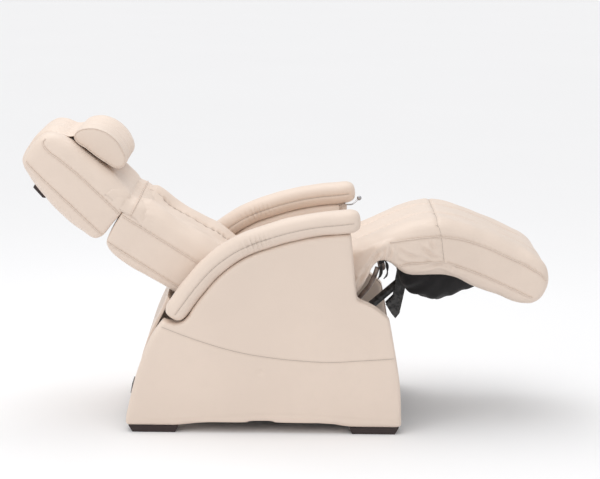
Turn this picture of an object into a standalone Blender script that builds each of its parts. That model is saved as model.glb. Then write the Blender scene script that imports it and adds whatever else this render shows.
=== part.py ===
"""Massage chair: a zero-gravity recliner on an upholstered base, shown reclined.

Metres, Z up from the floor. +X runs towards the feet and +Y to the sitter's left, so the
sitter's right side is at -Y. Seat and legrest are one rigid form that turns on the main pivot.
The back turns on the seat, steered by a control link on each side, and carries the head
section, which folds at the neck. A lock strut under the knee holds the recline.
"""

import math

import bmesh
import bpy
from mathutils import Matrix, Vector

# Widths, measured from the middle plane
PANEL_OUTER = 0.355
PANEL_THICK = 0.075
PANEL_INNER = PANEL_OUTER - PANEL_THICK
ARM_PAD_OUTER = 0.365
ARM_PAD_WIDTH = 0.095
ARM_PAD_HEIGHT = 0.076
CUSHION_HALF = 0.26
COVER_HALF = PANEL_INNER - 0.0005
REAR_SHELL_HALF = 0.245
CAVITY_HALF = 0.232
PILLOW_HALF = 0.19
FLAP_HALF = 0.165

# Vertical plates of the frame, from the outside in: inner face from the middle plane, thickness
BASE_PLATE_Y, BASE_PLATE_THICK = 0.2735, 0.006
LINK_Y, LINK_THICK = 0.246, 0.006
SEAT_PLATE_Y, SEAT_PLATE_THICK = 0.232, 0.006
BACK_PLATE_Y, BACK_PLATE_THICK = 0.222, 0.006
BOW_Y = 0.240

# Pivots in the XZ plane
MAIN_PIVOT = (0.020, 0.345)
BACK_PIVOT = (-0.090, 0.375)
LINK_BASE_PIVOT = (0.0013, 0.3725)
LINK_BACK_PIVOT = (-0.120, 0.280)
STRUT_TOP = (0.398, 0.455)
STRUT_ANCHOR = (0.040, 0.1388)
LEVER_PIVOT = (0.208, 0.668)
LEVER_Y = 0.302

# The back lies at BACK_TILT above the floor, measured from the hip point
HIP = (-0.068, 0.415)
BACK_TILT = math.radians(32)
BACK_LENGTH = 0.562
BACK_BOXING = 0.103
BACK_CROWN = 0.064
REAR_CROWN = 0.025
# The head section hinges at the front seam
NECK = (-0.549, 0.716)
HEAD_TILT = math.radians(41.5)

GAP = 0.0005
SHAFT_R = 0.0125
RUNNING = 0.0006
PIN_R = 0.006
LINK_PIN_R = 0.005
OPEN_PIVOT_PLAY = 0.0022
STRUT_R = 0.014
STRUT_EYE_PLAY = 0.004

# Massage unit, in the back's own lengths: s up the back from the hip, n out of its face
CARRIAGE_S = 0.200
SCREW_N = -0.066
SHAFT_N = -0.045
ROLLER_R = 0.016
ROLLER_S, ROLLER_N = 0.045, 0.020
ARM_Y = 0.076

LEATHER = ("leather", (0.79, 0.68, 0.58), 0.45, 0.0)
DARK_FEET = ("dark_feet", (0.05, 0.03, 0.027), 0.5, 0.0)
BLACK_CLOTH = ("black_cloth", (0.012, 0.011, 0.012), 0.9, 0.0)
BLACK_STEEL = ("black_steel", (0.02, 0.02, 0.02), 0.4, 0.0)
BRONZE_TUBE = ("bronze_tube", (0.16, 0.12, 0.10), 0.35, 0.6)
ZINC = ("zinc_steel", (0.55, 0.56, 0.58), 0.35, 1.0)
CHROME = ("chrome", (0.75, 0.75, 0.77), 0.1, 1.0)
GREY_PLASTIC = ("grey_plastic", (0.16, 0.16, 0.17), 0.5, 0.0)
RUBBER = ("rubber", (0.03, 0.03, 0.03), 0.7, 0.0)
PLYWOOD = ("plywood", (0.45, 0.30, 0.17), 0.6, 0.0)


def clear_scene():
    for obj in list(bpy.data.objects):
        bpy.data.objects.remove(obj, do_unlink=True)


def collection(name, hidden=False):
    made = bpy.data.collections.new(name)
    made.hide_render = hidden
    bpy.context.scene.collection.children.link(made)
    return made


def material(spec):
    name, colour, roughness, metallic = spec
    found = bpy.data.materials.get(name)
    if found:
        return found
    made = bpy.data.materials.new(name)
    made.use_nodes = True
    shader = made.node_tree.nodes["Principled BSDF"]
    shader.inputs["Base Color"].default_value = (*colour, 1.0)
    shader.inputs["Roughness"].default_value = roughness
    shader.inputs["Metallic"].default_value = metallic
    made.diffuse_color = (*colour, 1.0)
    return made


clear_scene()
PARTS = collection("massage_chair")
CUTTERS = collection("cutters", hidden=True)


# ---- helpers -------------------------------------------------------------------------------


def pivot(name, xz, y=0.0, parent=None):
    """An empty on a joint's axis, which carries the pieces that move with it."""
    empty = bpy.data.objects.new(name, None)
    empty.empty_display_size = 0.03
    empty.matrix_world = Matrix.Translation((xz[0], y, xz[1]))
    PARTS.objects.link(empty)
    if parent:
        bpy.context.view_layer.update()
        empty.parent = parent
        empty.matrix_parent_inverse = parent.matrix_world.inverted()
    return empty


def place(name, data, mat, joint=None, matrix=None):
    """A named object of this mesh or curve, under its joint's empty."""
    obj = bpy.data.objects.new(name, data)
    obj.matrix_world = matrix or Matrix.Identity(4)
    if mat:
        data.materials.append(material(mat))
    if joint:
        bpy.context.view_layer.update()
        obj.parent = joint
        obj.matrix_parent_inverse = joint.matrix_world.inverted()
    (PARTS if mat else CUTTERS).objects.link(obj)
    if not mat:
        obj.hide_render = True
        obj.display_type = "WIRE"
    return obj


def smooth(mesh, degrees=35):
    mesh.shade_smooth()
    mesh.set_sharp_from_angle(angle=math.radians(degrees))


def corner(x, z):
    """A point where an outline turns sharply; the others are passed through smoothly."""
    return (x, z, True)


def add_outline(curve, points):
    spline = curve.splines.new("BEZIER")
    spline.bezier_points.add(len(points) - 1)
    spline.use_cyclic_u = True
    spline.resolution_u = curve.resolution_u
    for at, point in zip(spline.bezier_points, points):
        at.co = (point[0], point[1], 0.0)
        kind = "VECTOR" if len(point) == 3 else "AUTO"
        at.handle_left_type = kind
        at.handle_right_type = kind


def circle(centre, radius, count=20):
    turns = [2 * math.pi * i / count for i in range(count)]
    return [corner(centre[0] + radius * math.cos(t), centre[1] + radius * math.sin(t)) for t in turns]


def arc(centre, radius, start, end, count):
    """Points from one angle to another, in degrees from +X towards +Z."""
    turns = [math.radians(start + (end - start) * i / (count - 1)) for i in range(count)]
    return [corner(centre[0] + radius * math.cos(t), centre[1] + radius * math.sin(t)) for t in turns]


def slab(name, outline, y, thick, mat, joint=None, rounding=0.0, holes=(), steps=3):
    """An outline in the XZ plane, extruded along Y about y, with edges rounded by a curve bevel."""
    curve = bpy.data.curves.new(name, "CURVE")
    curve.dimensions = "2D"
    curve.fill_mode = "BOTH"
    curve.resolution_u = steps
    curve.extrude = thick / 2 - rounding
    curve.bevel_depth = rounding
    curve.bevel_resolution = 2
    curve.offset = -rounding
    add_outline(curve, outline)
    for hole in holes:
        add_outline(curve, circle(*hole))
    upright = Matrix.Translation((0, y, 0)) @ Matrix.Rotation(math.pi / 2, 4, "X")
    return place(name, curve, mat, joint, upright)


def box(name, size, centre, mat, joint=None, turn=0.0, bevel=0.0):
    mesh = bpy.data.meshes.new(name)
    bm = bmesh.new()
    bmesh.ops.create_cube(bm, size=1.0)
    bmesh.ops.scale(bm, vec=size, verts=bm.verts)
    if bevel:
        bmesh.ops.bevel(bm, geom=bm.edges[:], offset=bevel, segments=2, profile=0.5, affect="EDGES")
    bm.to_mesh(mesh)
    bm.free()
    matrix = Matrix.Translation(centre) @ Matrix.Rotation(turn, 4, "Y")
    return place(name, mesh, mat, joint, matrix)


def rod(name, start, end, radius, mat, joint=None, sides=20):
    start, end = Vector(start), Vector(end)
    mesh = bpy.data.meshes.new(name)
    bm = bmesh.new()
    bmesh.ops.create_cone(
        bm, cap_ends=True, segments=sides, radius1=radius, radius2=radius, depth=(end - start).length
    )
    bm.to_mesh(mesh)
    bm.free()
    smooth(mesh)
    turn = (end - start).to_track_quat("Z", "Y").to_matrix().to_4x4()
    return place(name, mesh, mat, joint, Matrix.Translation((start + end) / 2) @ turn)


def ball(name, centre, radius, mat, joint=None):
    mesh = bpy.data.meshes.new(name)
    bm = bmesh.new()
    bmesh.ops.create_uvsphere(bm, u_segments=16, v_segments=10, radius=radius)
    bm.to_mesh(mesh)
    bm.free()
    smooth(mesh)
    return place(name, mesh, mat, joint, Matrix.Translation(centre))


def smooth_path(points, per_span):
    """Points of a smooth curve through the given points (Catmull-Rom)."""
    knots = [Vector(p) for p in points]
    knots = [2 * knots[0] - knots[1], *knots, 2 * knots[-1] - knots[-2]]
    found = []
    for a, b, c, d in zip(knots, knots[1:], knots[2:], knots[3:]):
        for i in range(per_span):
            t = i / per_span
            bend = (2 * a - 5 * b + 4 * c - d) * t**2 + (3 * b - a - 3 * c + d) * t**3
            found.append((2 * b + (c - a) * t + bend) / 2)
    return [*found, knots[-2]]


def tube(name, points, radius, mat, joint=None, per_span=3):
    curve = bpy.data.curves.new(name, "CURVE")
    curve.dimensions = "3D"
    curve.bevel_depth = radius
    curve.bevel_resolution = 2
    curve.use_fill_caps = True
    path = smooth_path(points, per_span)
    spline = curve.splines.new("POLY")
    spline.points.add(len(path) - 1)
    for at, point in zip(spline.points, path):
        at.co = (*point, 1.0)
    return place(name, curve, mat, joint)


def section(height, width, count=16, squareness=0.62):
    """A rounded rectangle as a hidden curve, to sweep along a bolster's middle line."""
    curve = bpy.data.curves.new("section", "CURVE")
    curve.dimensions = "2D"
    spline = curve.splines.new("POLY")
    spline.use_cyclic_u = True
    spline.points.add(count - 1)
    for i, at in enumerate(spline.points):
        turn = 2 * math.pi * (i + 0.5) / count
        c, s = math.cos(turn), math.sin(turn)
        across = math.copysign(abs(c) ** squareness, c) * height / 2
        at.co = (across, math.copysign(abs(s) ** squareness, s) * width / 2, 0.0, 1.0)
    return place("section", curve, None)


def bolster(name, path, y, height, width, mat, joint=None, end_round=0.030):
    """A padded roll along a line in the XZ plane, drawn in over end_round at both ends."""
    line = smooth_path([(x, z, 0) for x, z in path], 2)
    ends = [line[0] + (line[1] - line[0]) * share for share in (0.0, 0.15, 0.45)]
    tails = [line[-1] + (line[-2] - line[-1]) * share for share in (0.45, 0.15, 0.0)]
    line = [*ends, *line[1:-1], *tails]
    curve = bpy.data.curves.new(name, "CURVE")
    curve.dimensions = "2D"
    curve.bevel_mode = "OBJECT"
    curve.bevel_object = section(height, width)
    curve.use_fill_caps = True
    spline = curve.splines.new("POLY")
    spline.points.add(len(line) - 1)
    for at, point in zip(spline.points, line):
        inset = min((point - line[0]).length, (point - line[-1]).length) / end_round
        at.co = (point.x, point.y, 0.0, 1.0)
        at.radius = 0.55 + 0.45 * math.sqrt(max(0.0, 1 - max(0.0, 1 - inset) ** 2))
    upright = Matrix.Translation((0, y, 0)) @ Matrix.Rotation(math.pi / 2, 4, "X")
    return place(name, curve, mat, joint, upright)


def as_mesh(obj):
    """The object with its curve made a closed mesh, so that it can be cut or joined."""
    if obj.type == "MESH":
        return obj
    bpy.context.view_layer.update()
    graph = bpy.context.evaluated_depsgraph_get()
    mesh = bpy.data.meshes.new_from_object(obj.evaluated_get(graph))
    bm = bmesh.new()
    bm.from_mesh(mesh)
    bmesh.ops.remove_doubles(bm, verts=bm.verts, dist=1e-6)
    bmesh.ops.recalc_face_normals(bm, faces=bm.faces)
    bm.to_mesh(mesh)
    bm.free()
    name, home, joint = obj.name, obj.users_collection[0], obj.parent
    matrix = obj.matrix_world.copy()
    bpy.data.objects.remove(obj, do_unlink=True)
    made = bpy.data.objects.new(name, mesh)
    home.objects.link(made)
    made.matrix_world = matrix
    if joint:
        made.parent = joint
        made.matrix_parent_inverse = joint.matrix_world.inverted()
    if home == CUTTERS:
        made.hide_render = True
        made.display_type = "WIRE"
    return made


def boolean(target, tool, operation):
    target, tool = as_mesh(target), as_mesh(tool)
    step = target.modifiers.new(tool.name, "BOOLEAN")
    step.operation = operation
    step.solver = "EXACT"
    step.object = tool
    return target


def cut(target, *tools):
    for tool in tools:
        target = boolean(target, tool, "DIFFERENCE")
    return target


def join(target, *tools):
    for tool in tools:
        target = boolean(target, tool, "UNION")
    return target


def on_back(s, n):
    """World X and Z of a point s up the back from the hip and n out of its front seam plane."""
    return frame_point(HIP, BACK_TILT, s, n)


def on_head(s, n):
    return frame_point(NECK, HEAD_TILT, s, n)


def frame_point(origin, tilt, s, n):
    x = origin[0] - s * math.cos(tilt) + n * math.sin(tilt)
    z = origin[1] + s * math.sin(tilt) + n * math.cos(tilt)
    return (x, z)


def mapped(points, frame):
    """An outline in a tilted section's lengths, moved to the XZ plane with its corners kept."""
    return [(*frame(p[0], p[1]), *p[2:]) for p in points]


def at_y(xz, y):
    return (xz[0], y, xz[1])


SIDES = (("right", -1), ("left", 1))


def both(sign, near, thick):
    """The middle Y of a plate whose inner face is near from the middle plane."""
    return sign * (near + thick / 2)


# ---- joints --------------------------------------------------------------------------------

RECLINE = pivot("recline_axis", MAIN_PIVOT)
BACK = pivot("back_axis", BACK_PIVOT, parent=RECLINE)
HEAD = pivot("head_axis", NECK, parent=BACK)
STRUT = pivot("strut_axis", STRUT_TOP, parent=RECLINE)
LEVER = pivot("lever_axis", LEVER_PIVOT, LEVER_Y)
CARRIAGE = pivot("carriage_axis", on_back(CARRIAGE_S, SCREW_N), parent=BACK)
KNEAD = pivot("knead_axis", on_back(CARRIAGE_S, SHAFT_N), parent=CARRIAGE)
PILLOW = pivot("pillow_axis", on_head(0.18, 0.08), parent=HEAD)


# ---- base ----------------------------------------------------------------------------------

# Middle line of the arm pads, from the front end to the rear
ARM_PAD_PATH = [
    (0.2440, 0.7170), (0.1700, 0.7075), (0.1080, 0.7010), (0.0180, 0.6825), (-0.0690, 0.6560),
    (-0.1350, 0.6300), (-0.1900, 0.5975), (-0.2440, 0.5530), (-0.2900, 0.5000), (-0.3330, 0.4430),
    (-0.3730, 0.3850),
]


def under(path, distance):
    """The inner points of a path that runs towards -X, shifted below it by distance."""
    shifted = []
    for before, at, after in zip(path, path[1:], path[2:]):
        dx, dz = after[0] - before[0], after[1] - before[1]
        share = distance / math.hypot(dx, dz)
        shifted.append((at[0] - dz * share, at[1] + dx * share))
    return shifted


# The panel's top edge carries the arm pad
PANEL_TOP = under(ARM_PAD_PATH, ARM_PAD_HEIGHT / 2 + GAP)
PANEL_OUTLINE = [
    corner(-0.526, 0.023), (-0.516, 0.077), (-0.476, 0.232), (-0.437, 0.326), corner(-0.400, 0.379),
    (-0.375, 0.369), (-0.350, 0.368), (-0.325, 0.384), *reversed(PANEL_TOP), corner(0.214, 0.673),
    (0.225, 0.569), (0.233, 0.486), corner(0.238, 0.450), (0.296, 0.424), corner(0.345, 0.386),
    (0.363, 0.289), (0.384, 0.160), corner(0.391, 0.023), corner(0.220, 0.023), (0.150, 0.033),
    (0.020, 0.041), (-0.110, 0.043), (-0.240, 0.036), corner(-0.359, 0.023),
]

BASE_PLATE_OUTLINE = [
    corner(-0.300, 0.075), corner(0.270, 0.075), corner(0.270, 0.125), corner(0.090, 0.140),
    corner(0.070, 0.370), corner(0.045, 0.395), corner(-0.020, 0.400), corner(-0.050, 0.370),
    corner(-0.055, 0.140), corner(-0.300, 0.125),
]


def side_panels():
    for side, sign in SIDES:
        y = both(sign, PANEL_INNER, PANEL_THICK)
        panel = slab(f"side_panel_{side}", PANEL_OUTLINE, y, PANEL_THICK, LEATHER, rounding=0.016)
        panel = as_mesh(panel)
        if side == "left":
            notch = box("lever_notch", (0.060, 0.050, 0.076), (0.222, LEVER_Y - 0.008, 0.666), None)
            cut(panel, notch)


def arm_pads():
    for side, sign in SIDES:
        y = sign * (ARM_PAD_OUTER - ARM_PAD_WIDTH / 2)
        as_mesh(bolster(f"arm_pad_{side}", ARM_PAD_PATH, y, ARM_PAD_HEIGHT, ARM_PAD_WIDTH, LEATHER))


def feet():
    front = [corner(0.227, 0.0), corner(0.369, 0.0), corner(0.382, 0.0225), corner(0.218, 0.0225)]
    rear = [corner(-0.500, 0.0), corner(-0.359, 0.0), corner(-0.349, 0.0225), corner(-0.514, 0.0225)]
    for end, outline in (("front", front), ("rear", rear)):
        for side, sign in SIDES:
            y = both(sign, PANEL_INNER + 0.008, 0.058)
            slab(f"foot_{end}_{side}", outline, y, 0.058, DARK_FEET)


def base_frame():
    for side, sign in SIDES:
        holes = [(MAIN_PIVOT, SHAFT_R + GAP, 24)]
        y = both(sign, BASE_PLATE_Y, BASE_PLATE_THICK)
        plate = slab(
            f"base_plate_{side}", BASE_PLATE_OUTLINE, y, BASE_PLATE_THICK, BLACK_STEEL, holes=holes
        )
        stud = rod(
            f"link_stud_{side}", at_y(LINK_BASE_PIVOT, sign * (LINK_Y - 0.0015)),
            at_y(LINK_BASE_PIVOT, y), PIN_R, None,
        )
        join(plate, stud)
    shaft_end = BASE_PLATE_Y + 0.005
    rod("pivot_shaft", at_y(MAIN_PIVOT, -shaft_end), at_y(MAIN_PIVOT, shaft_end), SHAFT_R, ZINC, sides=24)
    tray = box("base_tray", (0.520, 2 * BASE_PLATE_Y - 0.001, 0.003), (-0.015, 0, 0.0825), BLACK_STEEL)
    for end, x in (("rear", -0.275), ("front", 0.245)):
        bar = box(f"cross_{end}", (0.040, 2 * BASE_PLATE_Y - 0.001, 0.040), (x, 0, 0.100), None)
        tray = join(tray, bar)
    box("control_box", (0.150, 0.200, 0.070), (-0.160, 0, 0.1195), GREY_PLASTIC, bevel=0.004)


def strut_anchor():
    """A U bracket on the tray whose pin stands in the strut's open eye."""
    x, z = STRUT_ANCHOR
    foot = 0.0843
    outline = [
        corner(x - 0.045, foot), corner(x + 0.045, foot), corner(x + 0.016, z + 0.010),
        corner(x, z + 0.017), corner(x - 0.016, z + 0.010),
    ]
    bracket = slab("strut_anchor", outline, 0.0, 0.046, BLACK_STEEL)
    slot = box("anchor_slot", (0.120, 0.034, 0.090), (x, 0, foot + 0.006 + 0.045), None)
    pin = rod("anchor_pin", at_y(STRUT_ANCHOR, -0.022), at_y(STRUT_ANCHOR, 0.022), LINK_PIN_R, None)
    join(cut(bracket, slot), pin)


def covers():
    rear = [
        corner(-0.3885, 0.4490), (-0.404, 0.412), (-0.434, 0.350), (-0.462, 0.281), (-0.480, 0.215),
        corner(-0.508, 0.060), corner(-0.494, 0.060), (-0.467, 0.215), (-0.449, 0.281),
        (-0.421, 0.350), corner(-0.3800, 0.4330),
    ]
    slab("rear_cover", rear, 0, 2 * COVER_HALF, LEATHER, rounding=0.003)
    front = [corner(0.350, 0.155), corner(0.354, 0.050), corner(0.366, 0.050), corner(0.362, 0.155)]
    slab("front_cover", front, 0, 2 * COVER_HALF, BLACK_STEEL, rounding=0.002)


ENTRY_TURN = math.radians(-10.0)


def power_inlet():
    """The inlet, low on the rear cover."""
    inlet = box("power_inlet", (0.012, 0.090, 0.036), (-0.5095, -0.150, 0.1100), GREY_PLASTIC, turn=-ENTRY_TURN)
    socket = box("socket", (0.016, 0.026, 0.020), (-0.5160, -0.168, 0.1100), None, turn=-ENTRY_TURN)
    window = box("window", (0.016, 0.018, 0.024), (-0.5160, -0.127, 0.1100), None, turn=-ENTRY_TURN)
    cut(inlet, socket, window)


def power_switch(turn):
    axis = pivot("switch_axis", (-0.5125, 0.1100), -0.127)
    outline = [
        corner(-0.0040, -0.0095), corner(0.0020, -0.0075), corner(0.0020, 0.0075), corner(-0.0040, 0.0095),
        corner(-0.0025, 0.0),
    ]
    x, z = -0.5125, 0.1100
    turned = []
    for u, w, _ in outline:
        across = u * math.cos(turn) - w * math.sin(turn)
        above = u * math.sin(turn) + w * math.cos(turn)
        turned.append(corner(x + across, z + above))
    slab("power_switch", turned, -0.127, 0.0160, RUBBER, axis)


# ---- release lever -------------------------------------------------------------------------


def release_lever():
    x, z = LEVER_PIVOT
    box("lever_bracket", (0.016, 0.006, 0.022), (x - 0.001, LEVER_Y - 0.0155, z - 0.008), BLACK_STEEL)
    inner, outer = at_y(LEVER_PIVOT, LEVER_Y - 0.0122), at_y(LEVER_PIVOT, LEVER_Y + 0.0060)
    hub = rod("release_lever", inner, outer, 0.0045, CHROME, LEVER)
    arm = [
        (x, LEVER_Y, z), (x + 0.014, LEVER_Y, z - 0.0005), (x + 0.027, LEVER_Y, z + 0.001),
        (x + 0.039, LEVER_Y, z + 0.011), (x + 0.047, LEVER_Y, z + 0.019),
    ]
    knob = ball("lever_knob", (x + 0.0515, LEVER_Y, z + 0.0235), 0.0085, None)
    join(hub, tube("lever_arm", arm, 0.0026, None), knob)


CABLE_ROUTE = [
    (0.207, 0.2865, 0.6460), (0.206, 0.2760, 0.6350), (0.204, 0.2735, 0.5900), (0.198, 0.2730, 0.5000),
    (0.186, 0.2700, 0.4000), (0.165, 0.2670, 0.2900), (0.155, 0.2500, 0.2100), (0.140, 0.2000, 0.1700),
    (0.115, 0.1200, 0.1520), (0.085, 0.0560, 0.1400), (0.050, 0.0300, 0.1250),
]


def release_cable():
    """The sheathed cable from the lever bracket to the strut anchor, held all the way."""
    tube("release_cable", CABLE_ROUTE, 0.0022, RUBBER, per_span=4)


# ---- seat and legrest ----------------------------------------------------------------------

SEAT_REAR_R = 0.116
SEAT_OUTLINE = [
    *arc(BACK_PIVOT, SEAT_REAR_R, 12, 38, 4), (0.010, 0.487), (0.045, 0.522), (0.110, 0.557),
    (0.180, 0.588), (0.253, 0.620), corner(0.3445, 0.662), corner(0.3445, 0.560),
    (0.318, 0.567), (0.294, 0.556), (0.277, 0.515), (0.256, 0.478), (0.232, 0.447), (0.205, 0.424),
    corner(0.160, 0.410),
]

LEG_OUTLINE = [
    corner(0.3455, 0.662), (0.400, 0.687), (0.460, 0.706), (0.505, 0.710), (0.560, 0.700),
    (0.683, 0.656), (0.780, 0.612), (0.835, 0.585), (0.862, 0.560), (0.876, 0.520), (0.868, 0.470),
    (0.838, 0.432), (0.800, 0.424), (0.713, 0.450), (0.618, 0.484), (0.560, 0.512), (0.500, 0.519),
    (0.440, 0.516), (0.395, 0.523), corner(0.3700, 0.542), corner(0.3455, 0.560),
]

BOW_PATH = [
    (0.3060, 0.5440), (0.2960, 0.5140), (0.2800, 0.4810), (0.2590, 0.4550), (0.2300, 0.4180),
    (0.1900, 0.3750), (0.1500, 0.3500), (0.1070, 0.3400),
]

BAG_OUTLINE = [
    corner(0.380, 0.505), (0.388, 0.470), (0.408, 0.440), (0.450, 0.414), (0.492, 0.398),
    (0.540, 0.404), (0.600, 0.430), (0.650, 0.452), corner(0.718, 0.437), corner(0.726, 0.458),
    corner(0.625, 0.498), corner(0.540, 0.533), corner(0.430, 0.533),
]


def seat_cushion():
    slab("seat_cushion", SEAT_OUTLINE, 0, 2 * CUSHION_HALF, LEATHER, RECLINE, rounding=0.022)


def leg_cushion():
    """The legrest's upholstered form, hollowed underneath for its board."""
    cushion = slab("leg_cushion", LEG_OUTLINE, 0, 2 * CUSHION_HALF, LEATHER, RECLINE, rounding=0.030)
    recess = slab(
        "leg_recess",
        [
            corner(0.330, 0.480), corner(0.330, 0.553), corner(0.4300, 0.553), corner(0.540, 0.553),
            corner(0.800, 0.4600), corner(0.800, 0.380), corner(0.500, 0.380),
        ],
        0, 2 * 0.205, None,
    )
    cut(cushion, recess)


def leg_board():
    outline = [
        corner(0.3800, 0.5510), corner(0.3800, 0.5360), corner(0.5370, 0.5360), corner(0.7960, 0.4435),
        corner(0.7960, 0.4585), corner(0.5397, 0.5510),
    ]
    slab("leg_board", outline, 0, 2 * 0.203, PLYWOOD, RECLINE)


def seat_frame():
    pan = [corner(0.034, 0.3985), corner(0.205, 0.4135), corner(0.205, 0.4035), corner(0.034, 0.3885)]
    slab("seat_pan", pan, 0, 2 * (SEAT_PLATE_Y - GAP), PLYWOOD, RECLINE)
    plate = [
        *arc(BACK_PIVOT, 0.019, 90, 265, 6), corner(-0.030, 0.330), corner(0.010, 0.315),
        corner(0.060, 0.320), corner(0.098, 0.330), corner(0.098, 0.385), corner(0.030, 0.3865),
    ]
    holes = [(MAIN_PIVOT, SHAFT_R + RUNNING, 24), (BACK_PIVOT, PIN_R + RUNNING, 20)]
    for side, sign in SIDES:
        y = both(sign, SEAT_PLATE_Y, SEAT_PLATE_THICK)
        slab(f"seat_plate_{side}", plate, y, SEAT_PLATE_THICK, BLACK_STEEL, RECLINE, holes=holes)
        path = [(px, sign * BOW_Y, pz) for px, pz in BOW_PATH]
        tube(f"seat_bow_{side}", path, 0.008, BRONZE_TUBE, RECLINE)
    reach = BOW_Y - 0.0105
    rod("knee_cross_tube", (0.321, -reach, 0.5420), (0.321, reach, 0.5420), 0.012, BRONZE_TUBE, RECLINE)


def leg_cover():
    """The black cloth under the knee: a slack cover, open above and round the strut."""
    bag = slab("leg_cover", BAG_OUTLINE, 0, 0.360, BLACK_CLOTH, RECLINE)
    hollow = slab(
        "cover_hollow",
        [
            corner(0.370, 0.560), corner(0.395, 0.478), (0.414, 0.446), (0.452, 0.421), (0.492, 0.405),
            (0.540, 0.411), (0.600, 0.437), (0.640, 0.457), corner(0.700, 0.452), corner(0.640, 0.560),
        ],
        0, 0.352, None,
    )
    mouth = box("cover_mouth", (0.120, 0.080, 0.140), (0.380, 0, 0.450), None)
    cut(bag, hollow, mouth)


def strut():
    """The lock strut: cylinder on the knee bracket, rod with an eye round the anchor's pin."""
    bracket = slab(
        "strut_bracket",
        [
            corner(0.392, 0.5355), corner(0.450, 0.5355), corner(0.436, 0.478), corner(0.412, 0.432),
            corner(0.394, 0.342), corner(0.380, 0.324), corner(0.366, 0.341), corner(0.346, 0.373),
            corner(0.372, 0.400), corner(0.378, 0.450),
        ],
        0, 0.046, BLACK_STEEL, RECLINE,
    )
    slot = box("bracket_slot", (0.160, 0.0330, 0.200), (0.380, 0, 0.3700 + 0.030), None)
    web = box("bracket_web", (0.016, 0.040, 0.016), (0.3800, 0, 0.3420), None)
    pin = rod("strut_pin", at_y(STRUT_TOP, -0.022), at_y(STRUT_TOP, 0.022), PIN_R, None)
    join(cut(bracket, slot), pin, web)
    top, eye = Vector(at_y(STRUT_TOP, 0)), Vector(at_y(STRUT_ANCHOR, 0))
    along = (eye - top).normalized()
    body = rod("strut_cylinder", top - along * 0.020, top + along * 0.270, STRUT_R, BLACK_STEEL, STRUT, 24)
    pin_hole = rod(
        "strut_pin_hole", at_y(STRUT_TOP, -0.03), at_y(STRUT_TOP, 0.03), PIN_R + RUNNING, None
    )
    bore = rod("strut_bore", top + along * 0.050, top + along * 0.300, 0.0075, None)
    cut(body, pin_hole, bore)
    shank = rod("strut_rod", top + along * 0.160, eye - along * 0.012, 0.0065, ZINC, STRUT)
    radius = LINK_PIN_R + STRUT_EYE_PLAY
    eye_ring = slab(
        "strut_eye", circle(STRUT_ANCHOR, radius + 0.006, 24), 0, 0.016, None,
        holes=[(STRUT_ANCHOR, radius, 20)],
    )
    join(shank, eye_ring)


# ---- back ----------------------------------------------------------------------------------

# Seat side of the back's lower end, as an arc about the back pivot, in the back's own lengths
PIVOT_S = -0.0025
PIVOT_N = -0.0456
BACK_END_R = BACK_CROWN - PIVOT_N


def back_arc(radius, start, end, count):
    """Points about the back pivot; the angle runs from the face's normal towards the seat."""
    turns = [math.radians(start + (end - start) * i / (count - 1)) for i in range(count)]
    return [corner(PIVOT_S - radius * math.sin(t), PIVOT_N + radius * math.cos(t)) for t in turns]


def back_cushion():
    """Face, bolsters and boxing, open behind and below for the massage unit and the frame."""
    face = [
        corner(0.035, -BACK_BOXING), corner(BACK_LENGTH, -BACK_BOXING), corner(BACK_LENGTH, 0.004),
        (0.558, 0.028), (0.541, 0.052), (0.505, BACK_CROWN - 0.002), (0.350, BACK_CROWN + 0.003),
        (0.200, BACK_CROWN + 0.004), (0.060, BACK_CROWN),
        *back_arc(BACK_END_R, 0, 23, 4), *back_arc(0.052, 23, 14, 2), corner(0.035, 0.0),
    ]
    outline = mapped(face, on_back)
    cushion = slab("back_cushion", outline, 0, 2 * CUSHION_HALF, LEATHER, BACK, rounding=0.0)
    inside = [corner(0.012, -0.125), corner(0.548, -0.125), corner(0.548, 0.0), corner(0.012, 0.0)]
    cut(cushion, slab("back_cavity", mapped(inside, on_back), 0, 2 * CAVITY_HALF, None))


def back_shell():
    outline = [
        corner(0.050, -BACK_BOXING - GAP), (0.058, -0.120), (0.080, -BACK_BOXING - REAR_CROWN),
        (0.300, -BACK_BOXING - REAR_CROWN - 0.002), (0.540, -BACK_BOXING - REAR_CROWN),
        (0.562, -0.121), corner(0.568, -BACK_BOXING - GAP),
    ]
    slab("back_shell", mapped(outline, on_back), 0, 2 * REAR_SHELL_HALF, LEATHER, BACK)


def back_frame():
    plate = [
        corner(0.540, -0.022), corner(0.540, -0.088), corner(0.065, -0.088), corner(0.040, -0.100),
        corner(0.002, -0.148), corner(-0.020, -0.162), corner(-0.040, -0.158), corner(-0.048, -0.142),
        corner(-0.040, -0.122), corner(-0.024, -0.075), corner(-0.024, -0.040), corner(-0.012, -0.024),
    ]
    for side, sign in SIDES:
        y = both(sign, BACK_PLATE_Y, BACK_PLATE_THICK)
        made = slab(f"back_plate_{side}", mapped(plate, on_back), y, BACK_PLATE_THICK, BLACK_STEEL, BACK)
        hinge_end = sign * (SEAT_PLATE_Y + SEAT_PLATE_THICK + 0.002)
        link_end = sign * (LINK_Y + LINK_THICK + 0.002)
        hinge = rod(f"hinge_stud_{side}", at_y(BACK_PIVOT, y), at_y(BACK_PIVOT, hinge_end), PIN_R, None)
        lever = rod(
            f"lever_stud_{side}", at_y(LINK_BACK_PIVOT, y), at_y(LINK_BACK_PIVOT, link_end), LINK_PIN_R, None
        )
        join(made, hinge, lever)
        rail_y = sign * (BACK_PLATE_Y - GAP - 0.008)
        box(
            f"guide_rail_{side}", (0.460, 0.016, 0.020), at_y(on_back(0.300, -0.060), rail_y),
            ZINC, BACK, turn=BACK_TILT,
        )
    for end, s in (("bottom", 0.085), ("top", 0.515)):
        centre = at_y(on_back(s, -0.060), 0)
        box(f"back_cross_{end}", (0.020, 2 * 0.2050, 0.030), centre, BLACK_STEEL, BACK, turn=BACK_TILT)


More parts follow.
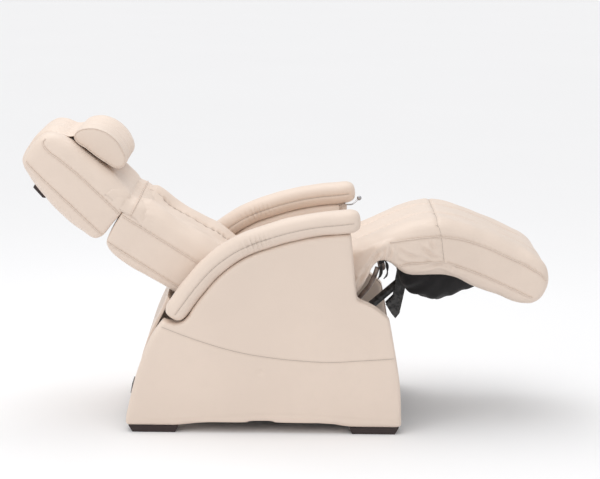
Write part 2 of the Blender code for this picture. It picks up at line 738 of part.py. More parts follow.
def control_links():
    ax, az = LINK_BASE_PIVOT
    bx, bz = LINK_BACK_PIVOT
    lean = math.degrees(math.atan2(bz - az, bx - ax))
    outline = [
        *arc(LINK_BASE_PIVOT, 0.012, lean - 90 + 180, lean + 90 + 180, 8),
        *arc(LINK_BACK_PIVOT, 0.012, lean - 90, lean + 90, 8),
    ]
    holes = [(LINK_BASE_PIVOT, PIN_R + RUNNING, 20), (LINK_BACK_PIVOT, LINK_PIN_R + OPEN_PIVOT_PLAY, 20)]
    for side, sign in SIDES:
        axis = pivot(f"link_axis_{side}", LINK_BASE_PIVOT, sign * LINK_Y)
        y = both(sign, LINK_Y, LINK_THICK)
        slab(f"control_link_{side}", outline, y, LINK_THICK, ZINC, axis, holes=holes)


# ---- massage unit --------------------------------------------------------------------------


def back_rod(name, s, n, y0, y1, radius, mat, joint):
    """A rod along Y inside the back."""
    xz = on_back(s, n)
    return rod(name, at_y(xz, y0), at_y(xz, y1), radius, mat, joint)


def screw_drive():
    low, high = on_back(0.0955, SCREW_N), on_back(0.5045, SCREW_N)
    turning = pivot("screw_axis", low, parent=BACK)
    rod("lead_screw", at_y(low, 0), at_y(high, 0), 0.006, ZINC, turning, 16)
    low, high = on_back(0.0955, -0.062), on_back(0.1420, -0.062)
    rod("travel_motor", at_y(low, 0.070), at_y(high, 0.070), 0.022, GREY_PLASTIC, BACK, 20)


def carriage():
    def block(name, size, s, n, y=0.0, mat=None):
        return box(name, size, at_y(on_back(s, n), y), mat, CARRIAGE if mat else None, turn=BACK_TILT)

    base = block("massage_carriage", (0.090, 0.320, 0.008), CARRIAGE_S, -0.091, mat=BLACK_STEEL)
    pieces = [block("nut", (0.036, 0.036, 0.036), CARRIAGE_S, -0.070)]
    for side, sign in SIDES:
        pieces.append(block(f"cheek_{side}", (0.050, 0.008, 0.062), CARRIAGE_S, -0.062, sign * 0.154))
        pieces.append(block(f"wing_{side}", (0.056, 0.050, 0.014), CARRIAGE_S, -0.060, sign * 0.1790))
    base = join(base, *pieces)
    bore_low, bore_high = on_back(0.120, SCREW_N), on_back(0.300, SCREW_N)
    cut(base, rod("nut_bore", at_y(bore_low, 0), at_y(bore_high, 0), 0.007, None))
    back_rod("knead_motor", CARRIAGE_S + 0.0235, -0.0655, 0.024, 0.067, 0.0165, GREY_PLASTIC, CARRIAGE)
    back_rod("knead_shaft", CARRIAGE_S, SHAFT_N, -0.1495, 0.1495, 0.005, ZINC, KNEAD)


def massage_arms():
    """A rocker arm on each side of the kneading shaft, with a roller at either end."""
    for side, sign in SIDES:
        axis = pivot(f"arm_axis_{side}", on_back(CARRIAGE_S, SHAFT_N), sign * ARM_Y, parent=CARRIAGE)
        outline = [
            corner(CARRIAGE_S, SHAFT_N - 0.012), corner(CARRIAGE_S + 0.012, SHAFT_N - 0.008),
            corner(CARRIAGE_S + ROLLER_S + 0.007, SHAFT_N + ROLLER_N - 0.006),
            corner(CARRIAGE_S + ROLLER_S + 0.006, SHAFT_N + ROLLER_N + 0.006),
            corner(CARRIAGE_S + 0.010, SHAFT_N + 0.012), corner(CARRIAGE_S - 0.010, SHAFT_N + 0.012),
            corner(CARRIAGE_S - ROLLER_S - 0.006, SHAFT_N + ROLLER_N + 0.006),
            corner(CARRIAGE_S - ROLLER_S - 0.007, SHAFT_N + ROLLER_N - 0.006),
            corner(CARRIAGE_S - 0.012, SHAFT_N - 0.008),
        ]
        hub = [(on_back(CARRIAGE_S, SHAFT_N), 0.005 + RUNNING, 16)]
        arm = slab(
            f"massage_arm_{side}", mapped(outline, on_back), sign * ARM_Y, 0.008, GREY_PLASTIC, axis, holes=hub
        )
        for end, offset in (("upper", ROLLER_S), ("lower", -ROLLER_S)):
            s, n = CARRIAGE_S + offset, SHAFT_N + ROLLER_N
            spin = pivot(f"roller_axis_{end}_{side}", on_back(s, n), sign * 0.096, parent=axis)
            stub = back_rod(f"stub_{end}_{side}", s, n, sign * ARM_Y, sign * 0.112, 0.004, None, None)
            arm = join(arm, stub)
            roller = back_rod(
                f"roller_{end}_{side}", s, n, sign * 0.082, sign * 0.110, ROLLER_R, RUBBER, spin
            )
            hole = back_rod(
                f"roller_hole_{end}_{side}", s, n, sign * 0.070, sign * 0.120, 0.004 + RUNNING, None, None
            )
            cut(roller, hole)


# ---- head section --------------------------------------------------------------------------


def head_section():
    face = [
        corner(0.008, -0.095), corner(0.008, 0.004), (0.014, 0.034), (0.032, 0.062), (0.070, 0.078),
        (0.130, 0.076), (0.220, 0.070), (0.290, 0.065), (0.335, 0.052), (0.360, 0.028),
        corner(0.368, -0.004), (0.364, -0.040), corner(0.356, -0.078), (0.228, -0.085), (0.140, -0.087),
        (0.061, -0.091),
    ]
    slab("head_cushion", mapped(face, on_head), 0, 2 * CUSHION_HALF, LEATHER, HEAD)
    rear = [
        corner(0.010, -0.0960), (0.061, -0.0920), (0.140, -0.0880), (0.228, -0.0860), corner(0.355, -0.0790),
        (0.351, -0.093), (0.310, -0.111), (0.250, -0.126), (0.145, -0.137), (0.045, -0.134), (0.018, -0.122),
    ]
    slab("head_shell", mapped(rear, on_head), 0, 2 * REAR_SHELL_HALF, LEATHER, HEAD)


def pillow():
    outline = [
        (0.278, 0.0755), (0.284, 0.100), (0.264, 0.137), (0.228, 0.162), (0.178, 0.171),
        (0.130, 0.161), (0.100, 0.142), (0.090, 0.120), (0.100, 0.096), (0.145, 0.082), (0.218, 0.0745),
    ]
    slab("pillow", mapped(outline, on_head), 0, 2 * PILLOW_HALF, LEATHER, PILLOW)


FLAP_PATH = [
    (0.290, 0.0730), (0.316, 0.0655), (0.340, 0.0560), (0.361, 0.0390), (0.3715, 0.0170),
    (0.3745, -0.0070), (0.3705, -0.0420), (0.3630, -0.0800), (0.3520, -0.1010), (0.3120, -0.1175),
    (0.2745, -0.1270),
]


def pillow_flap():
    """The leather strap over the head's end, from the pillow to its counterweight."""
    thick = 0.0035
    path = smooth_path([(s, n, 0) for s, n in FLAP_PATH], 2)
    outer, inner = [], []
    for i, at in enumerate(path):
        ahead = path[min(i + 1, len(path) - 1)] - path[max(i - 1, 0)]
        side = Vector((-ahead.y, ahead.x, 0)).normalized() * (thick / 2)
        outer.append(corner(*(at + side).xy))
        inner.append(corner(*(at - side).xy))
    slab("pillow_flap", mapped(outer + inner[::-1], on_head), 0, 2 * FLAP_HALF, LEATHER, PILLOW)
    weight = [
        corner(0.2715, -0.1275), corner(0.268, -0.1450), corner(0.222, -0.1500), corner(0.214, -0.1450),
        corner(0.214, -0.1345),
    ]
    slab("flap_weight", mapped(weight, on_head), 0, 0.300, DARK_FEET, HEAD)


def main():
    side_panels()
    arm_pads()
    feet()
    base_frame()
    strut_anchor()
    covers()
    power_inlet()
    power_switch(ENTRY_TURN)
    release_lever()
    release_cable()
    seat_cushion()
    leg_cushion()
    leg_board()
    seat_frame()
    leg_cover()
    strut()
    back_cushion()
    back_shell()
    back_frame()
    control_links()
    screw_drive()
    carriage()
    massage_arms()
    head_section()
    pillow()
    pillow_flap()


main()
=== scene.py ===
"""Looks of the massage chair: leather upholstery with welts and stitches, cloth cover, metal and stage.

The upholstery is made here as closed forms over the CAD frame's lines, swelled between its seams
by Cloth under pressure, then creased, welted and stitched. Everything is in metres in the frame.
"""

import math

import bmesh
import bpy
import numpy as np
from mathutils import Matrix, Vector
from mathutils.bvhtree import BVHTree
from mathutils.kdtree import KDTree


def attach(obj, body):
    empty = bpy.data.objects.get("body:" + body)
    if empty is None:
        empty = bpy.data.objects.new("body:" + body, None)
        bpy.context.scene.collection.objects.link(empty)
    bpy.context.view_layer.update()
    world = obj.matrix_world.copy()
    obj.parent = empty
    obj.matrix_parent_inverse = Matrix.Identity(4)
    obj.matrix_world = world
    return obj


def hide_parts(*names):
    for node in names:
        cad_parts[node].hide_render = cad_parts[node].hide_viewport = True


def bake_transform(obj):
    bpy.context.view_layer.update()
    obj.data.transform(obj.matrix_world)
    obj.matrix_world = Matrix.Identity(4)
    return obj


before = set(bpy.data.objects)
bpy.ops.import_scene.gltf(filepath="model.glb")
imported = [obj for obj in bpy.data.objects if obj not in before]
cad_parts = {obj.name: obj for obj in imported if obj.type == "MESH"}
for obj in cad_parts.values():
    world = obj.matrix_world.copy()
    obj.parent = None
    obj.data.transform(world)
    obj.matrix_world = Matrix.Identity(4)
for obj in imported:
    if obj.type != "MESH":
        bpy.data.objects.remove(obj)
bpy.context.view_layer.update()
scene = bpy.context.scene
scene.view_settings.view_transform = "Standard"

HALF = 0.26
HIP, BACK_TILT = (-0.068, 0.415), math.radians(32)
NECK, HEAD_TILT = (-0.549, 0.716), math.radians(41.5)
TOP_SEAM_Y = 0.092


# ---- camera --------------------------------------------------------------------------------

CAMERA_AT = (0.0186, -6.865, 1.80)
PITCH, YAW, ROLL = (math.radians(angle) for angle in (9.98, 0.25, 0.70))


def add_camera():
    ahead = Vector((math.sin(YAW) * math.cos(PITCH), math.cos(YAW) * math.cos(PITCH), -math.sin(PITCH)))
    right = Vector((math.cos(YAW), -math.sin(YAW), 0))
    up = right.cross(ahead)
    across = right * math.cos(ROLL) + up * math.sin(ROLL)
    above = up * math.cos(ROLL) - right * math.sin(ROLL)
    camera = bpy.data.objects.new("camera", bpy.data.cameras.new("camera"))
    camera.data.lens = 121.875
    camera.data.sensor_width = 36
    turn = Matrix((across, above, -ahead)).transposed().to_4x4()
    camera.matrix_world = Matrix.Translation(CAMERA_AT) @ turn
    scene.collection.objects.link(camera)
    scene.camera = camera


# ---- materials -----------------------------------------------------------------------------

# The Mix node's colour sockets, which share their names with its number sockets
MIX_COLOR_A, MIX_COLOR_B, MIX_COLOR_OUT = 6, 7, 2


class Shader:
    """A Principled material whose nodes are added one call at a time."""

    def __init__(self, name, color, roughness, metallic=0.0):
        self.material = bpy.data.materials.new(name)
        self.material.use_nodes = True
        self.tree = self.material.node_tree
        self.surface = self.tree.nodes["Principled BSDF"]
        self.surface.inputs["Base Color"].default_value = (*color, 1)
        self.surface.inputs["Roughness"].default_value = roughness
        self.surface.inputs["Metallic"].default_value = metallic
        self.place = self.node("ShaderNodeTexCoord").outputs["Object"]

    def node(self, kind, **settings):
        made = self.tree.nodes.new(kind)
        for key, value in settings.items():
            if key in made.inputs:
                made.inputs[key].default_value = value
            else:
                setattr(made, key, value)
        return made

    def link(self, output, target):
        self.tree.links.new(output, target)

    def scaled(self, x, y, z):
        mapping = self.node("ShaderNodeMapping")
        mapping.inputs["Scale"].default_value = (x, y, z)
        self.link(self.place, mapping.inputs["Vector"])
        return mapping.outputs["Vector"]

    def noise(self, scale, detail=3.0, roughness=0.5, place=None):
        made = self.node("ShaderNodeTexNoise", Scale=scale, Detail=detail, Roughness=roughness)
        self.link(place or self.place, made.inputs["Vector"])
        return made.outputs["Fac"]

    def cells(self, scale, place=None, feature="F1"):
        made = self.node("ShaderNodeTexVoronoi", feature=feature, Scale=scale)
        self.link(place or self.place, made.inputs["Vector"])
        return made.outputs["Distance"]

    def wave(self, scale, axis, distortion=0.0, place=None):
        made = self.node("ShaderNodeTexWave", Scale=scale, Distortion=distortion, bands_direction=axis)
        self.link(place or self.place, made.inputs["Vector"])
        return made.outputs["Fac"]

    def math(self, operation, a, b):
        made = self.node("ShaderNodeMath", operation=operation)
        for value, socket in zip((a, b), made.inputs):
            if isinstance(value, (int, float)):
                socket.default_value = value
            else:
                self.link(value, socket)
        return made.outputs["Value"]

    def ramp(self, value, low, high, start=0.0, end=1.0):
        """A number that runs from low to high while value runs from start to end."""
        made = self.node("ShaderNodeMapRange")
        for name, number in (("From Min", start), ("From Max", end), ("To Min", low), ("To Max", high)):
            made.inputs[name].default_value = number
        self.link(value, made.inputs["Value"])
        return made.outputs["Result"]

    def blend(self, share, a, b):
        """A colour between a and b."""
        made = self.node("ShaderNodeMix", data_type="RGBA")
        self.link(share, made.inputs["Factor"])
        for value, socket in zip((a, b), (made.inputs[MIX_COLOR_A], made.inputs[MIX_COLOR_B])):
            if isinstance(value, tuple):
                socket.default_value = (*value, 1)
            else:
                self.link(value, socket)
        return made.outputs[MIX_COLOR_OUT]

    def color(self, value):
        self.link(value, self.surface.inputs["Base Color"])

    def roughness(self, value):
        self.link(value, self.surface.inputs["Roughness"])

    def bump(self, height, distance, strength=1.0, after=None):
        made = self.node("ShaderNodeBump", Strength=strength, Distance=distance)
        self.link(height, made.inputs["Height"])
        if after:
            self.link(after, made.inputs["Normal"])
        self.link(made.outputs["Normal"], self.surface.inputs["Normal"])
        return made.outputs["Normal"]


def tone(color, factor):
    return tuple(min(1.0, c * factor) for c in color)


def leather(name, color, roughness=0.47):
    """Smooth upholstery leather: pebble grain, pores, cloudy tone, and painted shade darkening the seam
    grooves.
    """
    s = Shader(name, color, roughness)
    clouds = s.noise(2.2, 4.0)
    patches = s.noise(17.0, 3.0)
    base = s.blend(s.ramp(clouds, 0, 1, 0.3, 0.7), tone(color, 0.95), tone(color, 1.035))
    base = s.blend(s.ramp(patches, 0, 0.55, 0.45, 0.75), base, tone(color, 0.965))
    grain = s.cells(430.0)
    pores = s.noise(1400.0, 2.0)
    base = s.blend(s.ramp(grain, 0.14, 0.0, 0.0, 0.35), base, tone(color, 0.86))
    # painted shade: the band that sew() marks along the seams darkens the colour, standing in for shade in the
    # seam grooves
    seam = s.node("ShaderNodeAttribute", attribute_name="seam").outputs["Fac"]
    s.color(s.blend(s.math("MULTIPLY", seam, 0.22), base, tone(color, 0.55)))
    rubbed = s.ramp(s.noise(6.0, 5.0), -0.06, 0.08, 0.3, 0.7)
    s.roughness(s.math("ADD", s.ramp(grain, roughness + 0.07, roughness - 0.03, 0.0, 0.5), rubbed))
    drape = s.bump(s.noise(38.0, 3.0), 0.0010, 0.35)
    pebble = s.math("ADD", s.ramp(grain, 0, 1, 0.0, 0.6), s.math("MULTIPLY", pores, 0.35))
    s.bump(pebble, 0.00035, 0.55, after=drape)
    s.surface.inputs["Specular IOR Level"].default_value = 0.42
    s.surface.inputs["Sheen Weight"].default_value = 0.06
    return s.material


def cloth(name, color, pitch=0.0011):
    """Plain-woven black lining cloth."""
    s = Shader(name, color, 0.88)
    scale = math.pi / pitch / 20
    warp = s.wave(scale, "X", 0.6)
    weft = s.wave(scale, "Y", 0.6, place=s.scaled(1, 1, 1))
    up = s.wave(scale, "Z", 0.6)
    weave = s.math("ADD", s.math("MULTIPLY", warp, weft), s.math("MULTIPLY", up, 0.7))
    lint = s.noise(260.0, 4.0)
    s.color(s.blend(s.ramp(lint, 0, 0.5, 0.55, 0.8), color, tone(color, 2.6)))
    s.bump(weave, 0.0003, 0.6, after=s.bump(s.noise(60.0, 4.0), 0.002, 0.5))
    s.surface.inputs["Sheen Weight"].default_value = 0.12
    return s.material


def paint(name, color, roughness, metallic=0.0, bare=None, coarse=900.0):
    """Powder coat or plating: fine orange peel, dust, and edges worn towards bare."""
    s = Shader(name, color, roughness, metallic)
    dust = s.noise(9.0, 5.0)
    fleck = s.noise(coarse, 2.0)
    base = s.blend(s.ramp(dust, 0, 0.6, 0.45, 0.8), tone(color, 0.92), tone(color, 1.25))
    if bare:
        worn = s.node("ShaderNodeNewGeometry").outputs["Pointiness"]
        scuff = s.math("MULTIPLY", s.ramp(worn, 0, 1, 0.53, 0.62), s.ramp(s.noise(70.0, 4.0), 0, 1, 0.4, 0.6))
        base = s.blend(scuff, base, bare)
    s.color(base)
    s.roughness(s.ramp(dust, roughness - 0.05, roughness + 0.12, 0.3, 0.75))
    s.bump(fleck, 0.00012, 0.5)
    return s.material


def brushed(name, color, roughness, along=(4, 260, 260)):
    """Plated or drawn steel with fine lines along X."""
    s = Shader(name, color, roughness, 1.0)
    lines = s.noise(9.0, 3.0, place=s.scaled(*along))
    stain = s.noise(14.0, 4.0)
    s.color(s.blend(s.ramp(stain, 0, 1, 0.35, 0.7), tone(color, 0.85), color))
    s.roughness(s.ramp(lines, roughness - 0.06, roughness + 0.1, 0.3, 0.7))
    s.bump(lines, 0.00006, 0.5)
    return s.material


def board(name, color):
    """Plywood: long grain with darker streaks."""
    s = Shader(name, color, 0.62)
    grain = s.noise(12.0, 6.0, 0.6, place=s.scaled(1.2, 16, 16))
    streak = s.wave(3.0, "Y", 6.0, place=s.scaled(0.5, 4, 4))
    base = s.blend(s.ramp(grain, 0, 1, 0.35, 0.7), tone(color, 0.8), tone(color, 1.15))
    s.color(s.blend(s.math("MULTIPLY", streak, 0.3), base, tone(color, 0.6)))
    s.roughness(s.ramp(grain, 0.55, 0.7, 0.3, 0.7))
    s.bump(grain, 0.0003, 0.4)
    return s.material


HIDE = (0.770, 0.643, 0.550)
LEATHER = leather("leather_cream", HIDE)
WELT = leather("leather_welt", tone(HIDE, 0.93), 0.44)
JOINT = leather("leather_joint", tone(HIDE, 0.55), 0.6)
THREAD = paint("thread_cream", (0.78, 0.66, 0.56), 0.7, coarse=2600.0)
BROWN = leather("plastic_dark_brown", (0.034, 0.020, 0.019), 0.5)
CLOTH = cloth("cloth_black", (0.0085, 0.0075, 0.0085))
BLACK = paint("coat_black", (0.013, 0.012, 0.013), 0.42, bare=(0.10, 0.10, 0.10))
BLACK_BOARD = board("board_black", (0.022, 0.020, 0.020))
BRONZE = paint("tube_bronze", (0.135, 0.098, 0.082), 0.34, 0.55, bare=(0.30, 0.25, 0.22))
ZINC = brushed("steel_zinc", (0.52, 0.53, 0.55), 0.33)
CHROME = brushed("steel_chrome", (0.46, 0.46, 0.48), 0.18)
PLASTIC = paint("plastic_grey", (0.10, 0.10, 0.11), 0.5, coarse=1500.0)
RUBBER = paint("rubber_black", (0.020, 0.020, 0.020), 0.72, coarse=700.0)
PLYWOOD = board("board_birch", (0.50, 0.34, 0.19))
CREAM_COAT = paint("coat_cream", (0.52, 0.43, 0.37), 0.45, bare=(0.60, 0.52, 0.46))
FINISHES = {
    "upholstery": LEATHER, "leather": LEATHER, "dark_brown": BROWN, "black_cloth": CLOTH,
    "black_steel": BLACK, "black_board": BLACK_BOARD, "bronze_tube": BRONZE, "zinc_steel": ZINC,
    "chrome": CHROME, "grey_plastic": PLASTIC, "black_rubber": RUBBER, "plywood": PLYWOOD,
}


def dress_cad():
    """Gives every CAD node the detailed material of its slot."""
    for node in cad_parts.values():
        slot = node.data.materials[0].name.split(".")[0]
        node.data.materials.clear()
        node.data.materials.append(FINISHES[slot])
    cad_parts["lever_bracket"].data.materials[0] = CREAM_COAT


# ---- lines ---------------------------------------------------------------------------------


def even(points, step, closed=False):
    """The same line with its points step apart; columns after the place are carried along."""
    points = np.asarray(points, float)
    if closed:
        points = np.vstack([points, points[:1]])
    run = np.r_[0, np.cumsum(np.linalg.norm(np.diff(points[:, :3], axis=0), axis=1))]
    at = np.linspace(0, run[-1], max(3, round(run[-1] / step) + 1))
    if closed:
        at = at[:-1]
    return np.column_stack([np.interp(at, run, column) for column in points.T])


def spline(knots, step=0.004, closed=False):
    """A smooth line in XZ through knots; a knot with a third value is a sharp corner."""
    data = bpy.data.curves.new("line", "CURVE")
    data.dimensions = "3D"
    data.resolution_u = 24
    made = data.splines.new("BEZIER")
    made.bezier_points.add(len(knots) - 1)
    for point, knot in zip(made.bezier_points, knots):
        point.co = (knot[0], 0, knot[1])
        point.handle_left_type = point.handle_right_type = "VECTOR" if len(knot) > 2 else "AUTO"
    made.use_cyclic_u = closed
    obj = bpy.data.objects.new("line", data)
    scene.collection.objects.link(obj)
    bpy.context.view_layer.update()
    shape = obj.evaluated_get(bpy.context.evaluated_depsgraph_get()).to_mesh()
    line = np.array([v.co for v in shape.vertices])[:, [0, 2]]
    bpy.data.objects.remove(obj)
    bpy.data.curves.remove(data)
    line = np.column_stack([line[:, 0], np.zeros(len(line)), line[:, 1]])
    return even(line, step, closed)


def section_frame(origin, tilt):
    """A function from lengths along and out of a tilted face to XZ."""
    def placed(s, n):
        x = origin[0] - s * math.cos(tilt) + n * math.sin(tilt)
        return x, origin[1] + s * math.sin(tilt) + n * math.cos(tilt)
    return placed


on_back = section_frame(HIP, BACK_TILT)
on_head = section_frame(NECK, HEAD_TILT)


def mapped(points, placed):
    return [(*placed(p[0], p[1]), *p[2:]) for p in points]


def at_y(line, y):
    moved = np.array(line, float)
    moved[:, 1] = y
    return moved


def both_sides(line, y=HALF):
    return [at_y(line, -y), at_y(line, y)]


def cross(placed, s, n, half, step=0.004):
    """A line straight across, at s and n of a face."""
    x, z = placed(s, n)
    return even([(x, -half, z), (x, half, z)], step)


# ---- meshes --------------------------------------------------------------------------------


def make(name, points, faces, material, smooth=True):
    mesh = bpy.data.meshes.new(name)
    mesh.from_pydata([tuple(p) for p in points], [], [tuple(f) for f in faces])
    mesh.materials.append(material)
    mesh.polygons.foreach_set("use_smooth", [smooth] * len(mesh.polygons))
    obj = bpy.data.objects.new(name, mesh)
    scene.collection.objects.link(obj)
    return obj


def ring_faces(count, size):
    """Faces of a capped skin over count closed rings of size points."""
    faces = []
    for i in range(count - 1):
        for j in range(size):
            k = (j + 1) % size
            faces.append((i * size + j, i * size + k, (i + 1) * size + k, (i + 1) * size + j))
    faces.append(tuple(range(size))[::-1])
    faces.append(tuple(range((count - 1) * size, count * size)))
    return faces


def grid_faces(rows, size):
    """Faces of an open sheet of rows by size points."""
    return [
        (i * size + j, i * size + j + 1, (i + 1) * size + j + 1, (i + 1) * size + j)
        for i in range(rows - 1) for j in range(size - 1)
    ]


def loft(name, rings, material):
    """Skin over equal closed rings."""
    rings = np.asarray(rings, float)
    obj = make(name, rings.reshape(-1, 3), ring_faces(*rings.shape[:2]), material)
    bm = bmesh.new()
    bm.from_mesh(obj.data)
    bmesh.ops.recalc_face_normals(bm, faces=bm.faces)
    bm.to_mesh(obj.data)
    bm.free()
    return obj


def apply(obj):
    """Makes what the modifiers give the mesh itself."""
    bpy.context.view_layer.update()
    mesh = bpy.data.meshes.new_from_object(obj.evaluated_get(bpy.context.evaluated_depsgraph_get()))
    obj.modifiers.clear()
    old, obj.data = obj.data, mesh
    bpy.data.meshes.remove(old)


def coords(obj):
    co = np.empty(len(obj.data.vertices) * 3)
    obj.data.vertices.foreach_get("co", co)
    return co.reshape(-1, 3)


def set_coords(obj, co):
    obj.data.vertices.foreach_set("co", np.asarray(co, np.float32).ravel())
    obj.data.update()


def normals(obj):
    found = np.empty(len(obj.data.vertices) * 3)
    obj.data.vertex_normals.foreach_get("vector", found)
    return found.reshape(-1, 3)


def remesh(obj, voxel, soften=4):
    shrink = obj.modifiers.new("remesh", "REMESH")
    shrink.mode, shrink.voxel_size, shrink.use_smooth_shade = "VOXEL", voxel, True
    if soften:
        smooth = obj.modifiers.new("soften", "SMOOTH")
        smooth.factor, smooth.iterations = 0.5, soften
    material = obj.data.materials[0]
    apply(obj)
    obj.data.materials.clear()
    obj.data.materials.append(material)


def finer(obj):
    obj.modifiers.new("finer", "SUBSURF").levels = 1
    apply(obj)
    obj.data.polygons.foreach_set("use_smooth", [True] * len(obj.data.polygons))


def nearest(co, lines):
    """Each point's distance to the nearest of the lines, and the run along that line."""
    tree = KDTree(sum(len(line) for line in lines))
    runs = []
    for line in lines:
        steps = np.r_[0, np.cumsum(np.linalg.norm(np.diff(line[:, :3], axis=0), axis=1))]
        for point, run in zip(line, steps):
            tree.insert(Vector(point[:3]), len(runs))
            runs.append(run)
    tree.balance()
    found = [tree.find(p) for p in co]
    return np.array([f[2] for f in found]), np.array([runs[f[1]] for f in found])


SWELL_FRAMES = 20


def swell(obj, seams, cap, held=None, pressure=4.0):
    """Swells a closed form by Cloth under pressure; seams and the held area stay in place."""
    before = coords(obj)
    fixed = nearest(before, seams)[0] < 0.007
    if held is not None:
        fixed |= held(before)
    group = obj.vertex_groups.new(name="fixed")
    group.add(np.nonzero(fixed)[0].tolist(), 1.0, "REPLACE")
    cover = obj.modifiers.new("swell", "CLOTH")
    settings = cover.settings
    settings.quality = 4
    settings.mass = 0.3
    settings.tension_stiffness = settings.compression_stiffness = 12
    settings.bending_stiffness = 0.4
    settings.vertex_group_mass = "fixed"
    settings.use_pressure = True
    settings.uniform_pressure_force = pressure
    settings.effector_weights.gravity = 0
    cover.collision_settings.use_collision = False
    for number in range(1, SWELL_FRAMES + 1):
        scene.frame_set(number)
    shape = obj.evaluated_get(bpy.context.evaluated_depsgraph_get()).to_mesh()
    after = np.empty(len(shape.vertices) * 3)
    shape.vertices.foreach_get("co", after)
    scene.frame_set(1)
    obj.modifiers.clear()
    obj.vertex_groups.clear()
    move = after.reshape(-1, 3) - before
    size = np.linalg.norm(move, axis=1, keepdims=True)
    set_coords(obj, before + move * np.minimum(1, cap / np.maximum(size, 1e-9)))


def waves(co, scale, seed):
    """Smooth noise from -1 to 1; scale is how fast it runs along each axis."""
    spin = np.random.default_rng(seed)
    total = np.zeros(len(co))
    for _ in range(9):
        way = spin.normal(size=3) * np.asarray(scale)
        total += np.sin(co @ way + spin.uniform(0, 2 * math.pi))
    return total / 3.4


def push(obj, amount, way=None):
    """Moves each vertex out by amount, along its normal or way."""
    set_coords(obj, coords(obj) + (normals(obj) if way is None else np.asarray(way)) * amount[:, None])


def sew(obj, seams, depth=0.003, width=0.006, gather=0.0005, pitch=0.017):
    """Pulls the cover in along its seams, with small gathers, and marks a band along them that the material
    paints darker as shade in the grooves.
    """
    distance, run = nearest(coords(obj), seams)
    pull = -depth * np.exp(-(distance / width) ** 2)
    uneven = np.sin(2 * math.pi * run / pitch + 2.1 * np.sin(run * 31))
    push(obj, pull + gather * uneven * np.exp(-(distance / 0.013) ** 2))
    # painted shade: a band about 3.5 mm wide along the seams, which the leather darkens as shade in the groove
    painted_seam_shade = obj.data.attributes.get("seam") or obj.data.attributes.new("seam", "FLOAT", "POINT")
    old = np.zeros(len(obj.data.vertices), np.float32)
    painted_seam_shade.data.foreach_get("value", old)
    painted_seam_shade.data.foreach_set("value", np.maximum(old, np.exp(-(distance / 0.0035) ** 2)).astype(np.float32))


def fold(obj, lines, depth, width, lip=0.5):
    """Creases along lines: a valley with a soft ridge on each side, fading at the ends."""
    co = coords(obj)
    amount = np.zeros(len(co))
    for line in lines:
        distance, run = nearest(co, [line])
        length = np.linalg.norm(np.diff(line[:, :3], axis=0), axis=1).sum()
        fade = np.sin(np.clip(run / length, 0.02, 0.98) * math.pi) ** 0.6
        valley = np.exp(-(distance / width) ** 2)
        ridge = np.exp(-((distance - 2.1 * width) / (1.1 * width)) ** 2)
        amount += depth * fade * (lip * ridge - valley)
    push(obj, amount)


def snap(obj, line, lift=0.0):
    """The line laid on the piece's surface, with the surface normals."""
    tree = BVHTree.FromPolygons([v.co for v in obj.data.vertices], [p.vertices for p in obj.data.polygons])
    places, ways = [], []
    for point in line:
        place, way = tree.find_nearest(Vector(point[:3]))[:2]
        places.append(place + way * lift)
        ways.append(way)
    return np.array(places), np.array(ways)


def smoothed(points, rounds=3):
    points = np.array(points)
    for _ in range(rounds):
        points[1:-1] = (points[:-2] + 2 * points[1:-1] + points[2:]) / 4
    return points


def tube(places, ways, radius, sides=8):
    """Points and faces of a round cord along places; ways are across it."""
    ahead = np.gradient(places, axis=0)
    ahead /= np.linalg.norm(ahead, axis=1, keepdims=True)
    out = ways - ahead * (ways * ahead).sum(1, keepdims=True)
    out /= np.linalg.norm(out, axis=1, keepdims=True)
    side = np.cross(ahead, out)
    turns = np.arange(sides) * 2 * math.pi / sides
    rings = places[:, None] + radius * (
        out[:, None] * np.cos(turns)[None, :, None] + side[:, None] * np.sin(turns)[None, :, None]
    )
    return rings.reshape(-1, 3), ring_faces(len(places), sides)


def merged(name, parts, material):
    points, faces = [], []
    for part_points, part_faces in parts:
        start = len(points)
        points.extend(part_points)
        faces.extend(tuple(start + i for i in face) for face in part_faces)
    return make(name, points, faces, material)


def welts(name, obj, lines, radius=0.0021, sink=0.0004):
    """Corded seams laid on the piece."""
    parts = []
    for line in lines:
        places, ways = snap(obj, line, radius - sink)
        parts.append(tube(smoothed(places), smoothed(ways), radius))
    return merged(name, parts, WELT)


def seam_line(name, obj, lines, radius=0.0007):
    """The dark joint of a flat seam."""
    parts = []
    for line in lines:
        places, ways = snap(obj, line)
        parts.append(tube(smoothed(places), smoothed(ways), radius, 6))
    return merged(name, parts, JOINT)


STITCH, STITCH_GAP, THREAD_R = 0.0042, 0.0018, 0.00042


def stitches(name, obj, lines, shift=0.0):
    """Top stitching on the piece, shift to one side of each line."""
    parts = []
    for line in lines:
        dense = even(line[:, :3], 0.0015)
        places, ways = snap(obj, dense, THREAD_R * 0.5)
        if shift:
            ahead = np.gradient(smoothed(places), axis=0)
            side = np.cross(ahead, ways)
            side /= np.linalg.norm(side, axis=1, keepdims=True)
            places, ways = snap(obj, places + side * shift, THREAD_R * 0.5)
        run = np.arange(len(places)) * 0.0015
        pitch = STITCH + STITCH_GAP
        for start in np.arange(0, run[-1] - STITCH, pitch):
            picked = np.nonzero((run >= start) & (run <= start + STITCH))[0]
            if len(picked) >= 2:
                ends = [picked[0], picked[len(picked) // 2], picked[-1]]
                if len(set(ends)) == 3:
                    parts.append(tube(places[ends], ways[ends], THREAD_R, 5))
    return merged(name, parts, THREAD)


def carry(body, *pieces):
    """The pieces ride on the body."""
    for piece in pieces:
        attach(piece, body)


# Distances from a form's side where it gets a ring
RIM = (0.0, 0.0008, 0.002, 0.004, 0.0065, 0.010, 0.014, 0.019, 0.025, 0.032, 0.040, 0.049, 0.060, 0.072)


